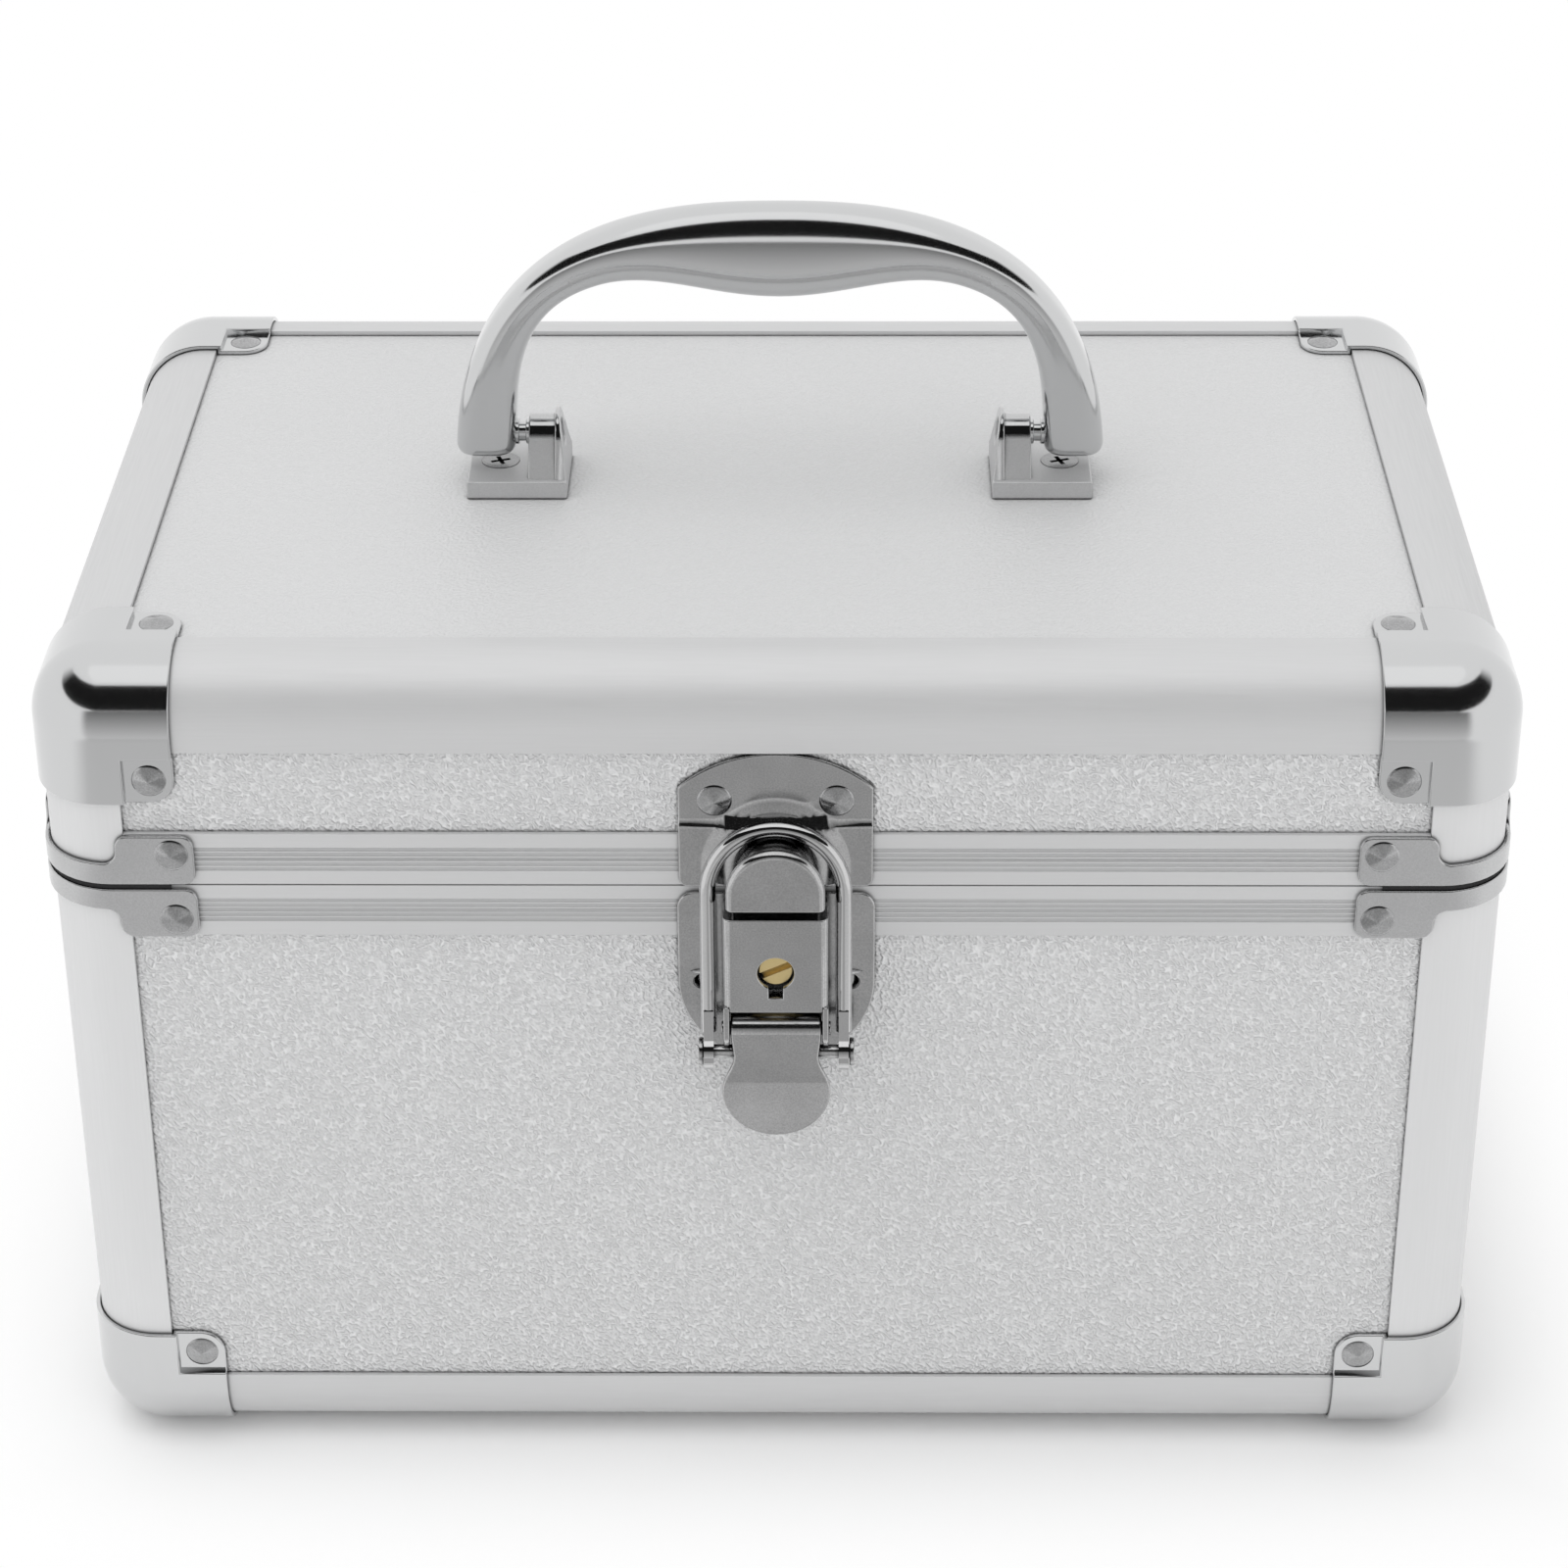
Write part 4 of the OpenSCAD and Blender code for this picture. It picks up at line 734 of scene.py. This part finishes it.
@dataclass
class TurnedRivets:
    """Rivets of one CAD node, made again with shallow turned cones for heads."""

    node: str
    half_height: float = 80 * MM
    head_height: float = 0.9 * MM
    shank_radius: float = 1.4 * MM
    head: tuple[tuple[float, float], ...] = ((0.0, 0.0), (0.1, -0.04), (0.86, -0.7), (0.95, -0.82),
                                             (1.0, -0.95), (1.0, -1.0))
    steps: int = 40
    sharp: float = 40.0
    same_point: float = 0.002 * MM

    def solids(self) -> list[tuple[Vector, Vector]]:
        """Finds the separate solids of the CAD node.

        Returns:
            Lowest and highest corner of each.
        """
        bm = bmesh.new()
        bm.from_mesh(frame["nodes"][self.node].data)
        bmesh.ops.remove_doubles(bm, verts=bm.verts, dist=self.same_point)
        left = set(bm.verts)
        found = []
        while left:
            stack, corners = [left.pop()], []
            while stack:
                vert = stack.pop()
                corners.append(vert.co.copy())
                near = {edge.other_vert(vert) for edge in vert.link_edges} & left
                left -= near
                stack.extend(near)
            found.append(tuple(Vector([end(c[i] for c in corners) for i in range(3)])
                               for end in (min, max)))
        bm.free()
        return found

    def places(self) -> list[tuple[Vector, Vector, float, float]]:
        """Finds each rivet of the CAD node.

        Returns:
            Tip of the head, outward direction, radius of the head and whole length of each.
        """
        found = []
        for low, high in self.solids():
            size = high - low
            # A rivet is as wide one way as the other, so the odd size lies along its axis
            wide = sorted(size)
            odd = wide[0] if wide[2] - wide[1] < wide[1] - wide[0] else wide[2]
            axis = list(size).index(odd)
            middle = (low + high) / 2
            centre = self.half_height if axis == 2 else 0.0
            outward = Vector((0.0, 0.0, 0.0))
            outward[axis] = math.copysign(1.0, middle[axis] - centre)
            tip = middle + outward * size[axis] / 2
            found.append((tip, outward, size[(axis + 1) % 3] / 2, size[axis]))
        return sorted(found, key=lambda rivet: tuple(round(v, 5) for v in rivet[0]))

    def rivet(self, bm: bmesh.types.BMesh, radius: float, length: float) -> None:
        """Spins one rivet, its tip at the origin and its shank downwards.

        Args:
            bm: Empty mesh that it is added to.
            radius: Radius of the head.
            length: Whole length.
        """
        outline = [(share * radius, height * self.head_height) for share, height in self.head]
        outline += [(self.shank_radius, -self.head_height), (self.shank_radius, -length),
                    (0.0, -length)]
        verts = [bm.verts.new((out, 0.0, up)) for out, up in outline]
        edges = [bm.edges.new(pair) for pair in zip(verts, verts[1:])]
        bmesh.ops.spin(bm, geom=verts + edges, cent=(0.0, 0.0, 0.0), axis=(0.0, 0.0, 1.0),
                       angle=2 * math.pi, steps=self.steps, use_merge=True, use_duplicate=False)
        bmesh.ops.remove_doubles(bm, verts=bm.verts, dist=self.same_point / 2)

    def build(self) -> bpy.types.Object:
        """Puts a rivet in every place.

        Returns:
            The new object.
        """
        whole = bmesh.new()
        for tip, outward, radius, length in self.places():
            bm = bmesh.new()
            self.rivet(bm, radius, length)
            bmesh.ops.transform(bm, verts=bm.verts, matrix=Matrix.Translation(tip)
                                @ outward.to_track_quat("Z", "Y").to_matrix().to_4x4())
            one = bpy.data.meshes.new("rivet")
            bm.to_mesh(one)
            bm.free()
            whole.from_mesh(one)
            bpy.data.meshes.remove(one)
        bmesh.ops.recalc_face_normals(whole, faces=whole.faces)
        return finish_piece(whole, self.node + "_turned", RIVET_CHROME, body_of(self.node),
                            (self.node,), self.sharp)


@dataclass
class CornerFittings:
    """The pressed caps, the straps and their rivets."""

    edge: float = 0.3 * MM

    def build(self) -> None:
        """Makes every cap, strap and rivet."""
        for level in ("bottom", "top"):
            for corner in ("front_left", "front_right", "rear_left", "rear_right"):
                SoftenedPart(f"{level}_cap_{corner}", CHROME, self.edge).build()
        for node in ("body_straps", "lid_straps"):
            SoftenedPart(node, STRAP_CHROME, self.edge).build()
        for node in ("body_rivets", "lid_rivets"):
            TurnedRivets(node).build()


@dataclass
class Latch:
    """The toggle latch with its lock."""

    plate_edge: float = 0.35 * MM
    housing_edge: float = 0.25 * MM
    lever_edge: float = 0.4 * MM
    turned_edge: float = 0.15 * MM

    def build(self) -> None:
        """Makes every part of the latch."""
        for node, edge in (("keeper_plate", self.plate_edge), ("latch_base_plate", self.plate_edge),
                           ("lock_housing", self.housing_edge), ("lever", self.lever_edge),
                           ("cross_pin", self.turned_edge), ("lever_pin", self.turned_edge)):
            SoftenedPart(node, LATCH_CHROME, edge).build()
        dress("bail", WIRE_CHROME)
        SoftenedPart("lock_plug", BRASS, self.turned_edge).build()
        dress("lock_barrel", BRASS)
        dress("lock_cam", LATCH_CHROME)


@dataclass(frozen=True)
class HandleForm:
    """Outlines and section of the cast handle, in millimetres.

    They are the CAD part's own. Both outlines are superellipses, and the grip is thickest in its
    middle. The section is boxy at the legs and rounder at the grip. Only here, the grip's
    underside is a narrower lobe below a crease.
    """

    half_width: float = 58.8
    pivot_z: float = 168.3
    rise: float = 44.0
    base_drop: float = 8.7
    foot_drop: float = 1.2
    grip_thickness: float = 17.2
    swell: float = 4.4
    swell_half: float = 32.0
    leg_thickness: float = 11.0
    leg_depth: float = 10.4
    grip_depth: float = 12.5
    outer_power: float = 2.45
    inner_power: float = 4.4
    lead: float = 0.15
    lead_power: float = 3.7
    leg_power: float = 0.62
    grip_power: float = 0.88
    grip_low: float = 0.45
    lobe_in: float = 0.95
    lobe_from: float = 0.06
    lobe_fade: int = 3
    grip_fade: int = 6
    end_round: float = 1.9
    end_shrink: float = 0.22

    def outer_share(self, along: float) -> float:
        """How far across the outer outline is, as a share of its half width.

        Args:
            along: Place along the handle, from 0 at the right leg to 1 at the left.

        Returns:
            The share, from 1 to -1.
        """
        base, top = self.pivot_z - self.base_drop, self.pivot_z + self.rise
        foot = (self.pivot_z - self.foot_drop - base) / (top - base)
        first = math.asin(foot ** (self.outer_power / 2))
        across = math.cos(first + (math.pi - 2 * first) * along)
        return math.copysign(abs(across) ** (2 / self.outer_power), across)

    def inner_share(self, outer: float) -> float:
        """The inner outline's share across, for one of the outer's."""
        return outer * (1 + self.lead * (1 - abs(outer) ** self.lead_power))

    @staticmethod
    def share_up(across: float, power: float) -> float:
        """Height of a superellipse at a share across, as a share of its rise."""
        return max(0.0, 1 - abs(across) ** power) ** (1 / power)

    def outlines(self, along: float) -> tuple[Vector, Vector]:
        """Points of the outer and the inner outline.

        Args:
            along: Place along the handle.

        Returns:
            Outer and inner point.
        """
        outer, first = self.outer_share(along), self.outer_share(0.0)
        base, top = self.pivot_z - self.base_drop, self.pivot_z + self.rise
        high = Vector((self.half_width * outer, 0.0,
                       base + (top - base) * self.share_up(outer, self.outer_power)))
        inner = self.inner_share(outer)
        foot = self.share_up(self.inner_share(first), self.inner_power)
        inner_top = top - self.grip_thickness + self.swell
        inner_base = (self.pivot_z - self.foot_drop - inner_top * foot) / (1 - foot)
        across = (self.half_width - self.leg_thickness) * inner
        swell = 0.0
        if abs(across) < self.swell_half:
            swell = self.swell * (1 + math.cos(across / self.swell_half * math.pi)) / 2
        low = inner_base + (inner_top - inner_base) * self.share_up(inner, self.inner_power)
        return high, Vector((across, 0.0, low - swell))

    def point(self, along: float, turn: float, end: float) -> Vector:
        """A point of the surface.

        Args:
            along: Place along the handle.
            turn: Angle round the section, in radians.
            end: How far into the rounded end of a leg, from 0 to 1.

        Returns:
            The point, in metres.
        """
        outer, inner = self.outlines(along)
        grip = math.sin(math.pi * along) ** self.grip_fade
        power = self.leg_power + (self.grip_power - self.leg_power) * grip
        low = self.grip_low * grip
        up, side = (math.copysign(abs(v) ** power, v) for v in (math.cos(turn), math.sin(turn)))
        up = up * (1 + low * math.copysign(1.0, up)) - low
        share = 1 - self.end_shrink * (1 - math.sqrt(1 - end * end))
        depth = (self.leg_depth + (self.grip_depth - self.leg_depth) * grip) / 2 * share
        if math.cos(turn) < self.lobe_from:
            depth -= self.lobe_in * math.sin(math.pi * along) ** self.lobe_fade
        point = (outer + inner) / 2 + (outer - inner) / 2 * share * up
        return Vector((point.x, depth * side, point.z - self.end_round * end)) * MM


@dataclass
class CarryHandle:
    """The cast handle between its two brackets."""

    form: HandleForm = HandleForm()
    rings: int = 150
    points: int = 96
    end_rings: int = 6
    sharp: float = 30.0
    same_point: float = 0.001 * MM
    bracket_edge: float = 0.35 * MM
    pin_edge: float = 0.2 * MM

    def loft(self) -> bpy.types.Object:
        """Lays a grid round the handle's form and closes it.

        Returns:
            The new object.
        """
        bm = bmesh.new()
        rows = self.rings + 2 * self.end_rings
        bmesh.ops.create_grid(bm, x_segments=self.points, y_segments=rows, size=0.5)
        for vert in bm.verts:
            turn = 2 * math.pi * (vert.co.x + 0.5)
            row = (vert.co.y + 0.5) * rows - self.end_rings
            along = min(max(row / self.rings, 0.0), 1.0)
            end = max(-row, row - self.rings, 0.0) / self.end_rings
            vert.co = self.form.point(along, turn, math.sin(end * math.pi / 2))
        bmesh.ops.remove_doubles(bm, verts=bm.verts, dist=self.same_point)
        bmesh.ops.holes_fill(bm, edges=[edge for edge in bm.edges if edge.is_boundary])
        bmesh.ops.recalc_face_normals(bm, faces=bm.faces)
        return finish_piece(bm, "handle_casting", CAST_CHROME, body_of("handle"), ("handle",),
                            self.sharp)

    def build(self) -> None:
        """Makes the handle, its pins, brackets and screws."""
        self.loft()
        for node in ("handle_bracket_left", "handle_bracket_right"):
            SoftenedPart(node, BRACKET_CHROME, self.bracket_edge).build()
        SoftenedPart("handle_pins", CAST_CHROME, self.pin_edge).build()
        dress("bracket_screws", SCREW_CHROME)


@dataclass
class RearHinges:
    """The two hinges behind the case."""

    edge: float = 0.2 * MM

    def build(self) -> None:
        """Makes the leaves and pins."""
        for node in ("lower_hinge_leaves", "upper_hinge_leaves"):
            SoftenedPart(node, CHROME, self.edge).build()
        dress("hinge_pins", CHROME)


@dataclass(frozen=True)
class Board:
    """A grey board, with a tone that runs from its foot to its head."""

    name: str
    size: tuple[float, float]
    middle: tuple[float, float, float]
    lean: float
    tones: tuple[float, float]
    beside: float = 1.0


@dataclass(frozen=True)
class Screen:
    """A glowing screen between two elevations, in degrees."""

    name: str
    low: float
    high: float
    tone: float


@dataclass(frozen=True)
class Lamp:
    """A square lamp that points at the case."""

    name: str
    place: tuple[float, float, float]
    size: float
    power: float


@dataclass
class Studio:
    """Camera, world, floor, lamps, and the screens and boards that the chrome shows.

    Lengths are in metres and angles in degrees. Only glossy rays see the screens and boards.
    """

    camera_place: tuple[float, float, float] = (0.0089223, -0.6685383, 0.4717501)
    pitch: float = 29.422
    yaw: float = -0.728
    roll: float = -0.301
    focal_px: float = 4112.68
    image_px: float = 1600.0
    sensor: float = 36.0
    clips: tuple[float, float] = (0.05, 60.0)
    sky: float = 0.86
    floor_radius: float = 8.0
    floor_sides: int = 96
    floor_tone: float = 0.96
    floor_roughness: float = 0.9
    case_half: tuple[float, float] = (0.12, 0.075)
    shadow_reach: float = 0.05
    screens: tuple[Screen, ...] = (Screen("dark_screen", 21.0, 57.0, 0.012),
                                   Screen("bright_screen", 60.0, 88.0, 1.12))
    screen_distance: float = 2.6
    screen_reach: float = 110.0
    screen_fade: float = 80.0
    screen_taper: float = 0.75
    screen_z: float = 0.12
    screen_grid: tuple[int, int] = (64, 8)
    board_fade: tuple[float, float] = (0.34, 0.5)
    boards: tuple[Board, ...] = (
        Board("standing_board", (0.8, 0.3), (0.0, -0.46, 0.15), 90.0, (0.74, 0.2)),
        Board("lying_board", (0.7, 0.33), (0.0, -0.295, 0.0006), 0.0, (0.62, 0.78)),
        Board("dull_patch", (0.16, 0.29), (0.0, -0.31, 0.0012), 0.0, (0.46, 0.48), 0.7))
    lit: tuple[float, float, float] = (0.0, 0.0, 0.08)
    overhead: Lamp = Lamp("overhead", (-0.5, -0.2, 1.7), 1.6, 9.0)
    front: Lamp = Lamp("front", (0.7, -1.8, 0.9), 1.4, 3.0)

    def camera(self) -> None:
        """Sets the camera at the photograph's place."""
        data = bpy.data.cameras.new("camera")
        data.sensor_width = self.sensor
        data.lens = self.focal_px / self.image_px * self.sensor
        data.clip_start, data.clip_end = self.clips
        camera = bpy.data.objects.new("camera", data)
        bpy.context.scene.collection.objects.link(camera)
        down, turn, tilt = (math.radians(v) for v in (self.pitch, self.yaw, self.roll))
        ahead = Vector((math.sin(turn) * math.cos(down), math.cos(turn) * math.cos(down),
                        -math.sin(down)))
        level = Vector((math.cos(turn), -math.sin(turn), 0.0))
        upright = level.cross(ahead)
        across = level * math.cos(tilt) + upright * math.sin(tilt)
        up = across.cross(ahead)
        turned = Matrix((across, up, -ahead)).transposed().to_4x4()
        camera.matrix_world = Matrix.Translation(Vector(self.camera_place)) @ turned
        bpy.context.scene.camera = camera

    def seen_directly(self, tree: bpy.types.NodeTree) -> bpy.types.NodeSocket:
        """Share that is 1 for camera, glossy and transmission rays.

        Args:
            tree: Node tree that the share is for.

        Returns:
            The socket that holds the share.
        """
        path = tree.nodes.new("ShaderNodeLightPath")
        share = path.outputs["Is Camera Ray"]
        for ray in ("Is Glossy Ray", "Is Transmission Ray"):
            either = tree.nodes.new("ShaderNodeMath")
            either.operation = "MAXIMUM"
            tree.links.new(share, either.inputs[0])
            tree.links.new(path.outputs[ray], either.inputs[1])
            share = either.outputs[0]
        return share

    def world(self) -> None:
        """Soft light from all round, seen as plain white."""
        world = bpy.data.worlds.new("studio")
        world.use_nodes = True
        bpy.context.scene.world = world
        tree = world.node_tree
        background = tree.nodes["Background"]
        background.inputs["Color"].default_value = (1.0, 1.0, 1.0, 1.0)
        strength = tree.nodes.new("ShaderNodeMapRange")
        strength.inputs["To Min"].default_value = self.sky
        strength.inputs["To Max"].default_value = 1.0
        tree.links.new(self.seen_directly(tree), strength.inputs["Value"])
        tree.links.new(strength.outputs["Result"], background.inputs["Strength"])

    def floor(self) -> None:
        """Pale floor that fades to white away from the case's shadow."""
        bm = bmesh.new()
        bmesh.ops.create_circle(bm, cap_ends=True, segments=self.floor_sides,
                                radius=self.floor_radius)
        mesh = bpy.data.meshes.new("floor")
        bm.to_mesh(mesh)
        bm.free()
        floor = bpy.data.objects.new("floor", mesh)
        bpy.context.scene.collection.objects.link(floor)
        shading = Shading("pale_floor")
        shading.shader.inputs["Roughness"].default_value = self.floor_roughness
        shading.shader.inputs["Base Color"].default_value = (*(self.floor_tone,) * 3, 1.0)
        shading.shader.inputs["Specular IOR Level"].default_value = 0.0
        parts = shading.axes()
        past = []
        for axis, half in zip("XY", self.case_half):
            away = shading.combine("ABSOLUTE", parts.outputs[axis], 0.0)
            past.append(shading.combine("SUBTRACT", away, half))
        fade = shading.ramp(shading.combine("MAXIMUM", *past), (0.0, self.shadow_reach), (0.0, 1.0),
                            "SMOOTHSTEP")
        share = shading.combine("MULTIPLY", fade, self.seen_directly(shading.tree))
        glow = shading.add("ShaderNodeEmission")
        mix = shading.add("ShaderNodeMixShader")
        shading.link(share, mix.inputs["Fac"])
        shading.link(shading.shader.outputs["BSDF"], mix.inputs[1])
        shading.link(glow.outputs["Emission"], mix.inputs[2])
        output = shading.tree.nodes["Material Output"]
        shading.link(mix.outputs["Shader"], output.inputs["Surface"])
        mesh.materials.append(shading.material)

    def board(self, board: Board) -> None:
        """Sets up one grey board, whose two ends fade to the tone beside it.

        Args:
            board: Board that is set up.
        """
        bm = bmesh.new()
        bmesh.ops.create_grid(bm, x_segments=1, y_segments=1, size=0.5)
        shading = Shading(board.name)
        parts = shading.axes()
        tone = shading.ramp(parts.outputs["Y"], (-0.5, 0.5), board.tones)
        sides = shading.ramp(shading.combine("ABSOLUTE", parts.outputs["X"], 0.0),
                             self.board_fade, (0.0, 1.0), "SMOOTHSTEP")
        faded = shading.ramp(sides, (0.0, 1.0), (tone, board.beside))
        size = Matrix.Diagonal((*board.size, 1.0, 1.0))
        turned = Matrix.Rotation(math.radians(board.lean), 4, "X") @ size
        self.show(bm, shading, faded, Matrix.Translation(Vector(board.middle)) @ turned)

    def screen(self, screen: Screen) -> None:
        """Bends a screen round the front of the case; its two ends narrow and fade to white.

        Args:
            screen: Screen that is set up.
        """
        bm = bmesh.new()
        across, upward = self.screen_grid
        bmesh.ops.create_grid(bm, x_segments=across, y_segments=upward, size=0.5)
        for vert in bm.verts:
            turn = math.radians(2 * self.screen_reach * vert.co.x)
            tall = (screen.high - screen.low) * (1.0 - self.screen_taper * (2 * vert.co.x) ** 2)
            rise = math.radians((screen.low + screen.high) / 2 + tall * vert.co.y)
            level = Vector((math.sin(turn), -math.cos(turn), 0.0)) * math.cos(rise)
            vert.co = self.screen_distance * (level + Vector((0.0, 0.0, math.sin(rise))))
        shading = Shading(screen.name)
        parts = shading.axes()
        ahead = shading.combine("MULTIPLY", parts.outputs["Y"], -1.0)
        turned = shading.combine("ARCTAN2", parts.outputs["X"], ahead)
        span = (math.radians(self.screen_fade), math.radians(self.screen_reach))
        sides = shading.ramp(shading.combine("ABSOLUTE", turned, 0.0), span, (screen.tone, 1.0),
                             "SMOOTHSTEP")
        self.show(bm, shading, sides, Matrix.Translation((0.0, 0.0, self.screen_z)))

    def show(self, bm: bmesh.types.BMesh, shading: Shading, strength: bpy.types.NodeSocket,
             place: Matrix) -> None:
        """Sets up a glowing sheet that only shining parts show.

        Args:
            bm: Mesh of the sheet; it is freed.
            shading: Its material.
            strength: How strongly it glows.
            place: Where it stands.
        """
        mesh = bpy.data.meshes.new(shading.material.name)
        bm.to_mesh(mesh)
        bm.free()
        sheet = bpy.data.objects.new(mesh.name, mesh)
        sheet.matrix_world = place
        bpy.context.scene.collection.objects.link(sheet)
        glow = shading.add("ShaderNodeEmission")
        shading.link(strength, glow.inputs["Strength"])
        output = shading.tree.nodes["Material Output"]
        shading.link(glow.outputs["Emission"], output.inputs["Surface"])
        mesh.materials.append(shading.material)
        sheet.visible_camera = sheet.visible_diffuse = sheet.visible_shadow = False

    def lamp(self, lamp: Lamp) -> None:
        """Sets up one lamp, which shining parts don't show.

        Args:
            lamp: Lamp that is set up.
        """
        data = bpy.data.lights.new(lamp.name, "AREA")
        data.size = lamp.size
        data.energy = lamp.power
        light = bpy.data.objects.new(lamp.name, data)
        bpy.context.scene.collection.objects.link(light)
        toward = Vector(self.lit) - Vector(lamp.place)
        light.rotation_euler = toward.to_track_quat("-Z", "Y").to_euler()
        light.location = lamp.place
        light.visible_glossy = False

    def build(self) -> None:
        """Sets up the whole studio."""
        bpy.context.scene.view_settings.view_transform = "Standard"
        self.camera()
        self.world()
        self.floor()
        for screen in self.screens:
            self.screen(screen)
        for board in self.boards:
            self.board(board)
        for lamp in (self.overhead, self.front):
            self.lamp(lamp)


def main() -> None:
    """Builds the studio and every part of the box."""
    logging.basicConfig(level=logging.INFO, format="%(message)s")
    Studio().build()
    Shell().build()
    PartingGapShade().build()
    CornerFittings().build()
    Latch().build()
    CarryHandle().build()
    RearHinges().build()


if __name__ == "__main__":
    main()
